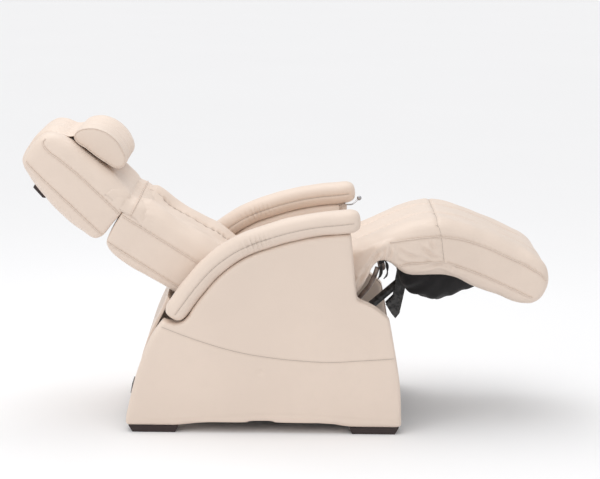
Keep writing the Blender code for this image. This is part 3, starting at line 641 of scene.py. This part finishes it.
def form(name, line, half, rims, material=None):
    """A closed form from an outline in XZ. rims are knots (x, z, depth, across): how far the
    outline draws in at the sides, and over what width."""
    size = len(line)
    order = [int(np.argmin((line[:, 0] - k[0]) ** 2 + (line[:, 2] - k[1]) ** 2)) for k in rims]
    rank = np.argsort(order)
    at = np.array(order)[rank]
    values = np.array([k[2:4] for k in rims])[rank]
    index = np.arange(size)
    depth = np.interp(index, at, values[:, 0], period=size)
    across = np.interp(index, at, values[:, 1], period=size)
    window = np.exp(-(np.arange(-8, 9) / 4.0) ** 2)
    window /= window.sum()
    depth = np.convolve(np.r_[depth[-8:], depth, depth[:8]], window, "valid")
    ahead = np.roll(line, -2, axis=0) - np.roll(line, 2, axis=0)
    area = np.sum(line[:, 0] * np.roll(line[:, 2], -1) - np.roll(line[:, 0], -1) * line[:, 2])
    inward = np.column_stack([-ahead[:, 2], np.zeros(size), ahead[:, 0]]) * np.sign(area)
    inward /= np.linalg.norm(inward, axis=1, keepdims=True)
    levels = sorted({min(d, half) for d in RIM} | set(np.arange(0.086, half, 0.014)) | {half})
    rows = [half - d for d in levels]
    rows = [-y for y in rows[:-1]] + rows[::-1]
    rings = []
    for y in rows:
        share = 1 - np.clip((half - abs(y)) / across, 0, 1)
        ring = line + inward * (depth * (1 - np.sqrt(1 - share ** 2)))[:, None]
        ring[:, 1] = y
        rings.append(ring)
    return loft(name, rings, material or LEATHER)


def hollow(piece, outline, low, high):
    """Cuts the outline, from y low to high, out of the piece."""
    box = loft("hollow", [[(x, y, z) for x, z in outline] for y in (low, high)], LEATHER)
    hole = piece.modifiers.new("hollow", "BOOLEAN")
    hole.operation, hole.object, hole.solver = "DIFFERENCE", box, "FAST"
    apply(piece)
    bpy.data.objects.remove(box)


# ---- side panels ---------------------------------------------------------------------------

ARM_PAD_PATH = [
    (0.2440, 0.7170), (0.1700, 0.7075), (0.1080, 0.7010), (0.0180, 0.6825), (-0.0690, 0.6560),
    (-0.1350, 0.6300), (-0.1900, 0.5975), (-0.2440, 0.5530), (-0.2900, 0.5000), (-0.3330, 0.4430),
    (-0.3730, 0.3850),
]


def under(path, distance):
    shifted = []
    for before, here, after in zip(path, path[1:], path[2:]):
        dx, dz = after[0] - before[0], after[1] - before[1]
        share = distance / math.hypot(dx, dz)
        shifted.append((here[0] - dz * share, here[1] + dx * share))
    return shifted


PANEL_OUTLINE = [
    (-0.526, 0.023, 1), (-0.516, 0.077), (-0.476, 0.232), (-0.437, 0.326), (-0.400, 0.379, 1),
    (-0.375, 0.369), (-0.350, 0.368), (-0.325, 0.384), *reversed(under(ARM_PAD_PATH, 0.0385)),
    (0.214, 0.673, 1),
    (0.225, 0.569), (0.233, 0.486), (0.238, 0.450, 1), (0.296, 0.424), (0.345, 0.386, 1),
    (0.363, 0.289), (0.384, 0.160), (0.391, 0.023, 1), (0.220, 0.023, 1), (0.150, 0.033),
    (0.020, 0.041), (-0.110, 0.043), (-0.240, 0.036), (-0.359, 0.023, 1),
]
PANEL_SEAM = [
    (-0.405, 0.358), (-0.359, 0.340), (-0.277, 0.311), (-0.162, 0.278), (-0.053, 0.259), (0.052, 0.249),
    (0.151, 0.245), (0.249, 0.251), (0.361, 0.259),
]
PANEL_MIDDLE, PANEL_HALF = 0.3175, 0.0375
LEVER_POCKET = [(0.192, 0.628), (0.252, 0.628), (0.252, 0.704), (0.192, 0.704)]


def side_panel(side, sign):
    """A padded leather panel with rounded edges, one curved seam and a hem along the bottom."""
    line = spline(PANEL_OUTLINE, 0.005, closed=True)
    rims = [(-0.526, 0.023, 0.013, 0.016), (0.391, 0.023, 0.013, 0.016)]
    panel = form(f"side_panel_leather_{side}", line, PANEL_HALF, rims)
    set_coords(panel, coords(panel) + (0, sign * PANEL_MIDDLE, 0))
    if sign > 0:
        hollow(panel, LEVER_POCKET, 0.269, 0.319)
    remesh(panel, 0.0075, 3)
    finer(panel)
    outer = sign * (PANEL_MIDDLE + PANEL_HALF)
    seam = at_y(spline(PANEL_SEAM), outer)
    sew(panel, [seam], depth=0.0007, width=0.005, gather=0.0)
    co = coords(panel)
    face = np.clip((np.abs(co[:, 1]) - PANEL_MIDDLE) / PANEL_HALF, 0, 1)
    relief = 0.0011 * waves(co, (9, 3, 9), 5) + 0.0005 * waves(co, (26, 3, 22), 6)
    dimple = np.exp(-(((co[:, 0] + 0.078) / 0.010) ** 2 + ((co[:, 2] - 0.208) / 0.010) ** 2))
    hem = np.exp(-((co[:, 2] - 0.052 - 0.012 * np.cos(co[:, 0] * 6.5)) / 0.004) ** 2) * 0.0008
    push(panel, (relief - 0.0022 * dimple - hem) * face)
    carry("base", panel)
    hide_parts(f"side_panel_{side}")
    inner = sign * (PANEL_MIDDLE - PANEL_HALF + 0.006)
    front = line[(line[:, 0] > 0.205) & (line[:, 2] > 0.035)]
    welt = welts(f"side_panel_welt_{side}", panel, [at_y(front, inner)], 0.0018)
    joint = seam_line(f"side_panel_joint_{side}", panel, [seam])
    thread = stitches(f"side_panel_thread_{side}", panel, [seam], 0.0045)
    carry("base", welt, joint, thread)


# ---- arm pads ------------------------------------------------------------------------------

PAD_Y, PAD_WIDE, PAD_HIGH = 0.3175, 0.0470, 0.0380


def arm_pad(side, sign):
    """A stuffed roll on the panel: seams along both flanks, gathers at the bend."""
    path = spline([(x, z - 0.002) for x, z in ARM_PAD_PATH], 0.005)
    run = np.arange(len(path)) * 0.005
    ends = np.minimum(run, run[-1] - run) / 0.036
    size = 0.42 + 0.58 * np.sqrt(np.clip(1 - np.clip(1 - ends, 0, 1) ** 2, 0, 1))
    ahead = np.gradient(path, axis=0)
    up = np.column_stack([ahead[:, 2], np.zeros(len(path)), -ahead[:, 0]])
    up /= np.linalg.norm(up, axis=1, keepdims=True)
    turns = np.arange(48) * 2 * math.pi / 48
    wide = np.sign(np.cos(turns)) * np.abs(np.cos(turns)) ** 0.72
    high = np.sign(np.sin(turns)) * np.abs(np.sin(turns)) ** 0.80
    rings = [
        place + np.outer(wide, (0, PAD_WIDE * s, 0)) + np.outer(high, lift * PAD_HIGH * s)
        + (0, sign * PAD_Y, 0)
        for place, lift, s in zip(path, up, size)
    ]
    pad = loft(f"arm_pad_leather_{side}", rings, LEATHER)
    remesh(pad, 0.0065, 5)
    seam_path = path + up * -0.003
    seam_path = seam_path[4:-4]
    seams = [at_y(seam_path, sign * PAD_Y + flank * PAD_WIDE) for flank in (-1, 1)]
    swell(pad, seams, 0.005)
    finer(pad)
    finer(pad)
    sew(pad, seams, depth=0.0024, width=0.0045, gather=0.0002)
    co = coords(pad)
    distance, where = nearest(co, seams)
    bend = np.exp(-((where - 0.335) / 0.055) ** 2)
    ripple = np.sin(2 * math.pi * where / 0.0165 + 1.3 * np.sin(where * 60))
    gathers = ripple * np.exp(-((distance - 0.010) / 0.012) ** 2)
    push(pad, 0.0016 * bend * gathers + 0.0007 * waves(co, (40, 40, 40), 11))
    carry("base", pad)
    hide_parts(f"arm_pad_{side}")
    joint = seam_line(f"arm_pad_joint_{side}", pad, seams)
    thread = stitches(f"arm_pad_thread_{side}", pad, seams, 0.0035)
    carry("base", joint, thread)


# ---- seat and legrest ----------------------------------------------------------------------

# Knots with the depth and width of the rim at the sides
SEAT_RIMS = [
    (0.0235, 0.399, 0.012, 0.020), (0.0014, 0.4464, 0.014, 0.020), (0.045, 0.522, 0.034, 0.045),
    (0.180, 0.588, 0.042, 0.052), (0.3445, 0.662, 0.046, 0.055), (0.400, 0.687, 0.050, 0.060),
    (0.505, 0.710, 0.055, 0.062), (0.610, 0.684, 0.048, 0.058), (0.780, 0.612, 0.046, 0.055),
    (0.850, 0.573, 0.036, 0.045), (0.876, 0.520, 0.022, 0.028), (0.862, 0.455, 0.018, 0.026),
    (0.800, 0.424, 0.030, 0.030), (0.713, 0.450, 0.042, 0.030), (0.560, 0.512, 0.040, 0.030),
    (0.440, 0.516, 0.038, 0.030), (0.3700, 0.542, 0.016, 0.022), (0.318, 0.567, 0.010, 0.016),
    (0.277, 0.515, 0.010, 0.016), (0.160, 0.410, 0.010, 0.018),
]
SEAT_OUTLINE = [
    (0.0235, 0.399, 1), (0.0110, 0.4300), (0.0014, 0.4464), (0.010, 0.487), (0.045, 0.522), (0.110, 0.557),
    (0.180, 0.588), (0.253, 0.620), (0.3445, 0.662), (0.400, 0.687), (0.460, 0.706), (0.505, 0.710),
    (0.560, 0.700), (0.683, 0.656), (0.780, 0.612), (0.835, 0.585), (0.862, 0.560), (0.876, 0.520),
    (0.868, 0.470), (0.838, 0.432), (0.800, 0.424), (0.713, 0.450), (0.618, 0.484), (0.560, 0.512),
    (0.500, 0.519), (0.440, 0.516), (0.395, 0.523), (0.3700, 0.542), (0.345, 0.560), (0.318, 0.567),
    (0.294, 0.556), (0.277, 0.515), (0.256, 0.478), (0.232, 0.447), (0.205, 0.424), (0.160, 0.410, 1),
]
LEG_SEAM = [
    (0.345, 0.632), (0.372, 0.636), (0.437, 0.645), (0.519, 0.651), (0.607, 0.637), (0.729, 0.589),
    (0.843, 0.531), (0.872, 0.508),
]
LEG_LOW_SEAM = [
    (0.371, 0.546), (0.400, 0.556), (0.439, 0.561), (0.521, 0.567), (0.585, 0.548), (0.683, 0.510),
    (0.821, 0.447),
]
KNEE_SEAM = [(0.501, 0.712), (0.506, 0.690), (0.514, 0.655), (0.520, 0.610), (0.526, 0.566)]
SEAT_TOP = [
    (0.030, 0.508), (0.045, 0.522), (0.110, 0.557), (0.180, 0.588), (0.253, 0.620), (0.3445, 0.662),
    (0.400, 0.687), (0.460, 0.706), (0.505, 0.710), (0.560, 0.700), (0.683, 0.656), (0.780, 0.612),
    (0.835, 0.585), (0.862, 0.560), (0.874, 0.525),
]
THIGH_FOLDS = [
    [(0.346, 0.634), (0.314, 0.622), (0.277, 0.614), (0.241, 0.590)],
    [(0.337, 0.631), (0.319, 0.605), (0.294, 0.577), (0.274, 0.548), (0.246, 0.524)],
    [(0.340, 0.624), (0.329, 0.601), (0.320, 0.577)],
    [(0.349, 0.629), (0.345, 0.596), (0.341, 0.568)],
    [(0.274, 0.539), (0.256, 0.515), (0.242, 0.491)],
]
KNEE_FOLDS = [
    [(0.363, 0.615), (0.384, 0.601), (0.403, 0.592), (0.445, 0.576)],
    [(0.439, 0.621), (0.463, 0.602), (0.487, 0.586), (0.519, 0.570)],
    [(0.375, 0.596), (0.394, 0.585), (0.422, 0.578)],
    [(0.476, 0.640), (0.486, 0.621), (0.495, 0.607)],
    [(0.441, 0.540), (0.478, 0.550), (0.506, 0.560), (0.534, 0.551), (0.553, 0.542)],
    [(0.543, 0.561), (0.558, 0.532), (0.600, 0.514)],
]


BOARD_RECESS = [
    (0.372, 0.480), (0.372, 0.553), (0.430, 0.553), (0.540, 0.553), (0.800, 0.460), (0.800, 0.380),
    (0.500, 0.380),
]


def seat():
    """Seat and legrest in one cover: boxing, crown, two long seams, a knee seam and folds."""
    cushion = form("seat_leather", spline(SEAT_OUTLINE, 0.005, closed=True), HALF - 0.004, SEAT_RIMS)
    hollow(cushion, BOARD_RECESS, -0.206, 0.206)
    remesh(cushion, 0.0075, 6)
    top = spline(SEAT_TOP)
    boxing = both_sides(spline(LEG_SEAM)) + both_sides(spline(LEG_LOW_SEAM))
    long_seams = both_sides(top, TOP_SEAM_Y)
    knee = both_sides(spline(KNEE_SEAM))
    over_knee = even([
        (0.503, -0.250, 0.690), (0.501, -0.235, 0.702), (0.500, -0.205, 0.710), (0.499, 0, 0.712),
        (0.500, 0.205, 0.710), (0.501, 0.235, 0.702), (0.503, 0.250, 0.690),
    ], 0.004)

    def held(co):
        below = (np.abs(co[:, 1]) < 0.215) & (normals(cushion)[:, 2] < 0.2)
        return below | (co[:, 0] < 0.03)

    swell(cushion, boxing + long_seams + knee + [over_knee], 0.011, held)
    finer(cushion)
    sew(cushion, boxing, depth=0.0030, width=0.006)
    sew(cushion, long_seams, depth=0.0055, width=0.0075, gather=0.0007)
    sew(cushion, [over_knee], depth=0.0045, width=0.0065, gather=0.0002)
    sew(cushion, knee, depth=0.0020, width=0.004)
    for folds, depth, width in ((THIGH_FOLDS, 0.0130, 0.0062), (KNEE_FOLDS, 0.0090, 0.0060)):
        lines = [side for line in folds for side in both_sides(spline(line), HALF + 0.002)]
        fold(cushion, lines, depth, width)
    co = coords(cushion)
    upper = np.clip(normals(cushion)[:, 2], 0, 1)
    push(cushion, upper * 0.0016 * waves(co, (16, 24, 10), 21) + 0.0007 * waves(co, (45, 30, 45), 22))
    carry("seat", cushion)
    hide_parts("seat_cushion", "leg_cushion")
    welt = welts("seat_welt", cushion, boxing)
    joint = seam_line("seat_joint", cushion, long_seams + knee + [over_knee])
    thread = stitches("seat_thread", cushion, long_seams + knee + [over_knee], 0.005)
    carry("seat", welt, joint, thread)


# ---- back ----------------------------------------------------------------------------------

PIVOT_S, PIVOT_N = -0.0025, -0.0456
BACK_END = [
    (PIVOT_S - 0.1096 * math.sin(t), PIVOT_N + 0.1096 * math.cos(t), 1)
    for t in (math.radians(a) for a in (0, 7.7, 15.3, 23))
]
BACK_OUTLINE = [
    (0.035, -0.103, 1), (0.050, -0.106), (0.080, -0.128), (0.300, -0.130), (0.530, -0.126), (0.556, -0.106, 1),
    (0.562, -0.060), (0.562, 0.004, 1), (0.561, 0.040), (0.548, 0.056), (0.505, 0.062), (0.350, 0.064),
    (0.200, 0.065), (0.060, 0.062), *BACK_END,
    (PIVOT_S - 0.052 * math.sin(0.40), PIVOT_N + 0.052 * math.cos(0.40), 1), (0.020, -0.040),
]
BACK_RIMS = [
    (0.035, -0.103, 0.014, 0.020), (0.080, -0.128, 0.026, 0.034), (0.530, -0.126, 0.024, 0.034),
    (0.556, -0.106, 0.004, 0.008), (0.562, -0.050, 0.003, 0.006), (0.562, 0.004, 0.004, 0.008),
    (0.548, 0.056, 0.054, 0.058),
    (0.350, 0.064, 0.060, 0.066), (0.060, 0.062, 0.060, 0.066), (-0.030, 0.055, 0.040, 0.050),
    (0.020, -0.040, 0.010, 0.016),
]


def placed_rims(rims, placed):
    return [(*placed(s, n), depth, across) for s, n, depth, across in rims]


def back_lengths(co):
    """Along the back, across it and out of its face, for each point."""
    dx, dz = co[:, 0] - HIP[0], co[:, 2] - HIP[1]
    c, s = math.cos(BACK_TILT), math.sin(BACK_TILT)
    return -dx * c + dz * s, co[:, 1], dx * s + dz * c


def back():
    """Back cushion and rear cover: side bolsters, loose centre panel, welted boxing."""
    cushion = form(
        "back_leather", spline(mapped(BACK_OUTLINE, on_back), 0.005, closed=True), HALF - 0.003,
        placed_rims(BACK_RIMS, on_back),
    )
    remesh(cushion, 0.0075, 6)
    front = both_sides(spline(mapped([(0.000, 0.000), (0.280, 0.001), (0.558, 0.000)], on_back)))
    rear = both_sides(spline(mapped([(0.030, -0.103), (0.300, -0.103), (0.556, -0.103)], on_back)))
    face = spline(mapped([(0.020, 0.066), (0.200, 0.067), (0.400, 0.066), (0.535, 0.054)], on_back))
    inner = both_sides(face, TOP_SEAM_Y)

    def held(co):
        s, _, n = back_lengths(co)
        return (s < 0.05) | (s > 0.552) | (n < -0.108)

    swell(cushion, front + rear + inner, 0.013, held)
    finer(cushion)
    way = np.array((math.sin(BACK_TILT), 0, math.cos(BACK_TILT)))
    s, y, n = back_lengths(coords(cushion))
    out = np.clip(normals(cushion) @ way, 0, 1) ** 0.7
    crown = np.clip((n - 0.015) / 0.045, 0, 1) * out
    fade = np.clip(s / 0.08, 0, 1) * np.clip((0.55 - s) / 0.05, 0, 1)
    bolster = 0.010 * np.exp(-((np.abs(y) - 0.160) / 0.045) ** 2) - 0.011 * np.exp(-(y / 0.085) ** 4)
    spot = np.column_stack([s, y, n])
    crumple = 0.0080 * waves(spot, (36, 11, 1), 31) * np.exp(-((np.abs(y) - 0.13) / 0.09) ** 2)
    crumple += 0.0060 * waves(spot, (24, 30, 1), 32) * np.exp(-(y / 0.16) ** 2)
    push(cushion, crown * fade * (bolster + crumple), way)
    push(cushion, 0.0007 * waves(coords(cushion), (40, 30, 40), 33))
    sew(cushion, front + rear, depth=0.0030, width=0.006)
    sew(cushion, inner, depth=0.0045, width=0.009, gather=0.0012, pitch=0.028)
    tuck = cross(on_back, 0.030, 0.070, 0.22)
    fold(cushion, [tuck], 0.004, 0.012)
    carry("back", cushion)
    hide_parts("back_cushion", "back_shell")
    welt = welts("back_welt", cushion, front + rear)
    joint = seam_line("back_joint", cushion, inner)
    thread = stitches("back_thread", cushion, inner, 0.005)
    carry("back", welt, joint, thread)


# ---- head ----------------------------------------------------------------------------------

HEAD_OUTLINE = [
    (-0.010, -0.092, 1), (-0.006, -0.030), (-0.004, 0.004, 1), (-0.006, 0.040), (0.002, 0.059),
    (0.060, 0.073), (0.130, 0.073), (0.220, 0.067), (0.290, 0.062), (0.335, 0.050), (0.358, 0.028),
    (0.366, -0.004), (0.362, -0.045),
    (0.354, -0.082), (0.346, -0.096), (0.310, -0.111), (0.250, -0.125), (0.145, -0.135), (0.050, -0.132),
    (0.004, -0.122), (-0.006, -0.106),
]
HEAD_RIMS = [
    (-0.010, -0.092, 0.004, 0.008), (-0.004, 0.004, 0.003, 0.006), (0.000, 0.052, 0.050, 0.056),
    (0.060, 0.073, 0.066, 0.066), (0.220, 0.067, 0.062, 0.066), (0.320, 0.056, 0.050, 0.055),
    (0.358, 0.028, 0.034, 0.040), (0.366, -0.004, 0.026, 0.032), (0.362, -0.045, 0.024, 0.030),
    (0.346, -0.096, 0.020, 0.030), (0.250, -0.125, 0.036, 0.050), (0.145, -0.135, 0.045, 0.055),
    (0.050, -0.132, 0.036, 0.046), (-0.006, -0.106, 0.012, 0.020),
]
HEAD_FRONT_SEAM = [
    (0.001, 0.000), (0.100, 0.004), (0.186, 0.006), (0.260, 0.003), (0.318, 0.000), (0.345, 0.010),
    (0.352, 0.030),
]
HEAD_END = [(0.316, 0.0575), (0.352, 0.036), (0.366, -0.004), (0.354, -0.082)]
HEAD_REAR_SEAM = [(-0.006, -0.093), (0.061, -0.090), (0.140, -0.087), (0.228, -0.085), (0.350, -0.078)]


NECK_STRIP = [
    (on_back, 0.478, 0.0600), (on_back, 0.512, 0.0635), (on_back, 0.545, 0.0625), (on_head, 0.004, 0.0600),
    (on_head, 0.032, 0.0665), (on_head, 0.066, 0.0735),
]
NECK_DROP, NECK_SHOULDER, NECK_HALF = 0.052, 0.058, 0.2565


def at3(place, y=0.0):
    return place[0], y, place[1]


def head():
    """Head section in one cover that also bridges the neck joint."""
    cushion = form(
        "head_leather", spline(mapped(HEAD_OUTLINE, on_head), 0.005, closed=True), HALF - 0.003,
        placed_rims(HEAD_RIMS, on_head),
    )
    remesh(cushion, 0.0070, 6)
    front = both_sides(spline(mapped(HEAD_FRONT_SEAM, on_head)))
    rear = both_sides(spline(mapped(HEAD_REAR_SEAM, on_head)))
    crown = [at_y(spline(mapped(HEAD_END, on_head)), y) for y in (-0.15, 0.0, 0.15)]
    swell(cushion, front + rear + crown, 0.005, lambda co: head_lengths(co)[0] < 0.02)
    finer(cushion)
    co = coords(cushion)
    push(cushion, 0.0013 * waves(co, (18, 12, 18), 41) + 0.0006 * waves(co, (48, 30, 48), 42))
    sew(cushion, front + rear, depth=0.0030, width=0.006)
    welt = welts("head_welt", cushion, front + rear)
    strip, strip_welt = neck_strip()
    for piece in (cushion, welt, strip, strip_welt):
        at3(on_head(-0.012, 0.03))
        at3(on_head(0.060, 0.03))
        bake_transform(piece)
    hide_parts("head_cushion", "head_shell")


def neck_strip():
    """The leather that runs on from the back to the head over the joint, with its cross welt."""
    path = spline([place(s, n) for place, s, n in NECK_STRIP], 0.005)
    ahead = np.gradient(path, axis=0)
    inward = np.column_stack([ahead[:, 2], np.zeros(len(path)), -ahead[:, 0]])
    inward /= np.linalg.norm(inward, axis=1, keepdims=True)
    inward *= -np.sign(inward[:, 2:3])
    fade = np.sin(np.linspace(0, 1, len(path)) * math.pi)
    turns = np.linspace(-1, 1, 121)
    rows = NECK_HALF * np.sign(turns) * (1 - (1 - np.abs(turns)) ** 1.35)
    points = []
    for i, place in enumerate(path):
        for y in rows:
            share = 1 - min(1.0, (NECK_HALF - abs(y)) / NECK_SHOULDER)
            drop = NECK_DROP * (1 - math.sqrt(max(0.0, 1 - share ** 2)))
            pucker = 0.0022 * fade[i] * math.sin(y * 118 + 2.4 * math.sin(y * 21))
            tuck = 0.011 * (1 - fade[i]) ** 2
            points.append(place + inward[i] * (drop + pucker + tuck - 0.003) + (0, y, 0))
    size = len(rows)
    strip = make("neck_leather", points, grid_faces(len(path), size), LEATHER)
    strip.modifiers.new("thick", "SOLIDIFY").thickness = 0.002
    apply(strip)
    row = len(path) * 2 // 5
    line = np.array(points[row * size:(row + 1) * size])
    return strip, welts("neck_welt", strip, [even(line, 0.004)])


# ---- neck pillow -----------------------------------------------------------------------------

PILLOW_HALF, FLAP_HALF, FLAP_FLAT_WIDTH = 0.188, 0.165, 0.36
PILLOW_OUTLINE = [
    (0.278, 0.0775), (0.284, 0.100), (0.264, 0.135), (0.228, 0.159), (0.178, 0.168), (0.130, 0.158),
    (0.100, 0.140), (0.090, 0.120), (0.100, 0.098), (0.145, 0.085), (0.218, 0.0775),
]
FLAP_PATH = [
    (0.270, 0.1150), (0.282, 0.0890), (0.297, 0.0720), (0.316, 0.0640), (0.338, 0.0545), (0.357, 0.0390),
    (0.3670, 0.0175), (0.3710, -0.0065), (0.3680, -0.0425), (0.3610, -0.0805), (0.3510, -0.1010),
    (0.3140, -0.1170), (0.2700, -0.1290),
]
PLEATS = (-0.150, -0.118, -0.081, -0.037, 0.009, 0.046, 0.090, 0.127)


def pleats(y, width):
    """Lengthwise valleys of a gathered strip, from 0 to -1, with soft crowns between them."""
    return -sum(np.exp(-((y - at) / width) ** 2) for at in PLEATS)


def pillow():
    """Half-moon pillow: flat welted ends and a lightly pleated roll between them."""
    rims = placed_rims([(0.278, 0.0775, 0.005, 0.008), (0.100, 0.098, 0.005, 0.008)], on_head)
    outline = spline(mapped(PILLOW_OUTLINE, on_head), 0.005, closed=True)
    roll = form("pillow_leather", outline, PILLOW_HALF, rims)
    remesh(roll, 0.006, 5)
    ends = both_sides(np.vstack([outline, outline[:1]]), PILLOW_HALF)
    swell(roll, ends, 0.007, lambda co: head_lengths(co)[2] < 0.082)
    finer(roll)
    co = coords(roll)
    s, y, n = head_lengths(co)
    upper = np.clip((n - 0.10) / 0.03, 0, 1) * np.clip((PILLOW_HALF - 0.004 - np.abs(y)) / 0.02, 0, 1)
    gathered = upper * 0.0042 * pleats(y + 0.006 * np.sin(s * 25), 0.007)
    push(roll, gathered + 0.0008 * waves(co, (35, 35, 35), 51))
    sew(roll, ends, depth=0.0020, width=0.005)
    welt = welts("pillow_welt", roll, ends, 0.0019)
    carry("neck_pillow", roll, welt)
    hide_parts("pillow")


def head_lengths(co):
    dx, dz = co[:, 0] - NECK[0], co[:, 2] - NECK[1]
    c, s = math.cos(HEAD_TILT), math.sin(HEAD_TILT)
    return -dx * c + dz * s, co[:, 1], dx * s + dz * c


def flap():
    """Pleated leather strap from the pillow over the head's end to its counterweight."""
    path = spline(mapped(FLAP_PATH, on_head), 0.005)
    ahead = np.gradient(path, axis=0)
    out = np.column_stack([-ahead[:, 2], np.zeros(len(path)), ahead[:, 0]])
    out /= np.linalg.norm(out, axis=1, keepdims=True)
    out *= np.sign(((path - path.mean(0)) * out).sum())
    widths = np.linspace(-1, 1, 97)
    split = int(len(path) * 0.62)
    for name, first, last, moving, length, start, end in (
        ("flap_front", 0, split, "neck_pillow", 0.22, (0.345, 0.07), (0.285, 0.09)),
        ("flap_rear", split - 1, len(path), "counterweight", 0.135, (0.350, -0.105), (0.275, -0.128)),
    ):
        points = []
        for i in range(first, last):
            along = i / len(path)
            puff = 0.002 * math.sin(min(1, along / 0.8) * math.pi) ** 0.5
            for share in widths:
                y = share * FLAP_HALF
                shifted = np.array(y + 0.004 * math.sin(along * 9))
                lift = puff * (1 - abs(share) ** 6) + 0.0050 * pleats(shifted, 0.0065)
                edge = -0.009 * max(0.0, abs(share) - 0.93) / 0.07
                points.append(path[i] + out[i] * (0.0025 + lift + edge) + (0, y, 0))
        strip = make(name, points, grid_faces(last - first, len(widths)), LEATHER)
        strip.modifiers.new("thick", "SOLIDIFY").thickness = 0.0025
        strip.modifiers.new("finer", "SUBSURF").levels = 1
        apply(strip)
        at3(on_head(*start))
        at3(on_head(*end))
        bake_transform(strip)
        if moving == "neck_pillow":
            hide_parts("pillow_flap")


# ---- cloth cover and straps under the knee ---------------------------------------------------

BAG_LOW = [
    (0.376, 0.530), (0.381, 0.505), (0.388, 0.470), (0.408, 0.440), (0.450, 0.414), (0.492, 0.399),
    (0.540, 0.404), (0.600, 0.430), (0.650, 0.452), (0.690, 0.445), (0.722, 0.440),
]
BAG_TOP = [
    (0.371, 0.540), (0.400, 0.5445), (0.470, 0.5445), (0.540, 0.540), (0.600, 0.516), (0.650, 0.497),
    (0.690, 0.482), (0.722, 0.468),
]
BAG_HALF = 0.176


def cloth_cover():
    """Black lining bag that hangs under the knee, gathered at its mouth."""
    low, top = spline(BAG_LOW, 0.002), spline(BAG_TOP, 0.002)
    stations = np.linspace(0.0, 1.0, 90)
    low = low[(stations * (len(low) - 1)).astype(int)]
    top = top[(stations * (len(top) - 1)).astype(int)]
    shares = np.linspace(-1, 1, 81)
    points = []
    for i, station in enumerate(stations):
        for share in shares:
            drop = 1 - abs(share) ** 2.6
            place = top[i] * (1 - drop) + low[i] * drop
            y = BAG_HALF * math.copysign(abs(share) ** 0.72, share)
            fold_run = math.sin(share * 9 + 4 * math.sin(station * 5)) * math.sin(station * 21 + share * 3)
            ripple = math.sin(station * 47 + share * 11) * drop * (1 - station)
            crease = 0.004 * fold_run * drop ** 0.5 + 0.003 * ripple
            points.append((place[0] + 0.4 * crease, y + 0.5 * crease, place[2] + crease))
    bag = make("leg_cover_cloth", points, grid_faces(len(stations), len(shares)), CLOTH)
    bag.modifiers.new("thick", "SOLIDIFY").thickness = 0.0012
    apply(bag)
    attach(bag, "seat")
    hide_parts("leg_cover")


TAB_HALF, TAB_THICK = 0.014, 0.0016


def straps():
    """Two webbing tabs on each side that hold the cover at the top of the frame tube."""
    parts = []
    for y in (-0.243, 0.243):
        for dx, dz, turn in ((0.0, 0.0, 0.0), (0.020, -0.004, 0.5)):
            line = spline([
                (0.300 + dx, 0.566 + dz), (0.306 + dx, 0.573 + dz), (0.314 + dx, 0.566 + dz),
                (0.318 + dx, 0.545 + dz),
                (0.316 + dx, 0.520 + dz), (0.308 + dx, 0.505 + dz + 0.01 * turn),
            ], 0.003)
            ring = [
                (-TAB_HALF, TAB_THICK), (TAB_HALF, TAB_THICK), (TAB_HALF + 0.0006, 0), (TAB_HALF, -TAB_THICK),
                (-TAB_HALF, -TAB_THICK), (-TAB_HALF - 0.0006, 0),
            ]
            ahead = np.gradient(line, axis=0)
            ahead /= np.linalg.norm(ahead, axis=1, keepdims=True)
            out = np.column_stack([-ahead[:, 2], np.zeros(len(line)), ahead[:, 0]])
            rings = []
            for i, place in enumerate(line):
                twist = 0.25 * math.sin(i * 0.25 + turn * 4)
                rings.append([
                    place + (0, y + a * math.cos(twist), 0) + out[i] * (b + a * math.sin(twist))
                    for a, b in ring
                ])
            rings = np.array(rings)
            parts.append((rings.reshape(-1, 3), ring_faces(*rings.shape[:2])))
    tabs = merged("cover_tabs", parts, CLOTH)
    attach(tabs, "seat")


# ---- stage ---------------------------------------------------------------------------------


def stage():
    side = 40.0
    corners = [(-side, -side, 0), (side, -side, 0), (side, side, 0), (-side, side, 0)]
    s = Shader("floor_paper", (0.90, 0.90, 0.91), 0.85)
    s.color(s.blend(s.ramp(s.noise(0.6, 2.0), 0, 1), (0.895, 0.895, 0.905), (0.91, 0.91, 0.92)))
    make("floor", corners, [(0, 1, 2, 3)], s.material)
    world = bpy.data.worlds.new("studio")
    world.use_nodes = True
    world.node_tree.nodes["Background"].inputs["Color"].default_value = (1, 1, 1, 1)
    world.node_tree.nodes["Background"].inputs["Strength"].default_value = 0.76
    scene.world = world
    sky = bpy.data.objects.new("sky_panel", bpy.data.lights.new("sky_panel", "SUN"))
    sky.data.energy, sky.data.angle = 0.80, math.radians(50)
    sky.rotation_euler = (math.radians(12), math.radians(-14), 0)
    scene.collection.objects.link(sky)
    for name, place, aim, size, power in (
        ("softbox_top", (-0.4, 0.9, 3.0), (0, 0, 0.4), 1.6, 18),
        ("softbox_front", (-2.4, -3.4, 2.2), (0, 0, 0.5), 1.4, 17),
    ):
        light = bpy.data.objects.new(name, bpy.data.lights.new(name, "AREA"))
        light.data.energy, light.data.size = power, size
        light.location = place
        light.rotation_euler = (Vector(aim) - Vector(place)).to_track_quat("-Z", "Y").to_euler()
        scene.collection.objects.link(light)


add_camera()
dress_cad()
for side_name, side_sign in (("right", -1), ("left", 1)):
    side_panel(side_name, side_sign)
    arm_pad(side_name, side_sign)
seat()
back()
head()
pillow()
flap()
cloth_cover()
straps()
stage()
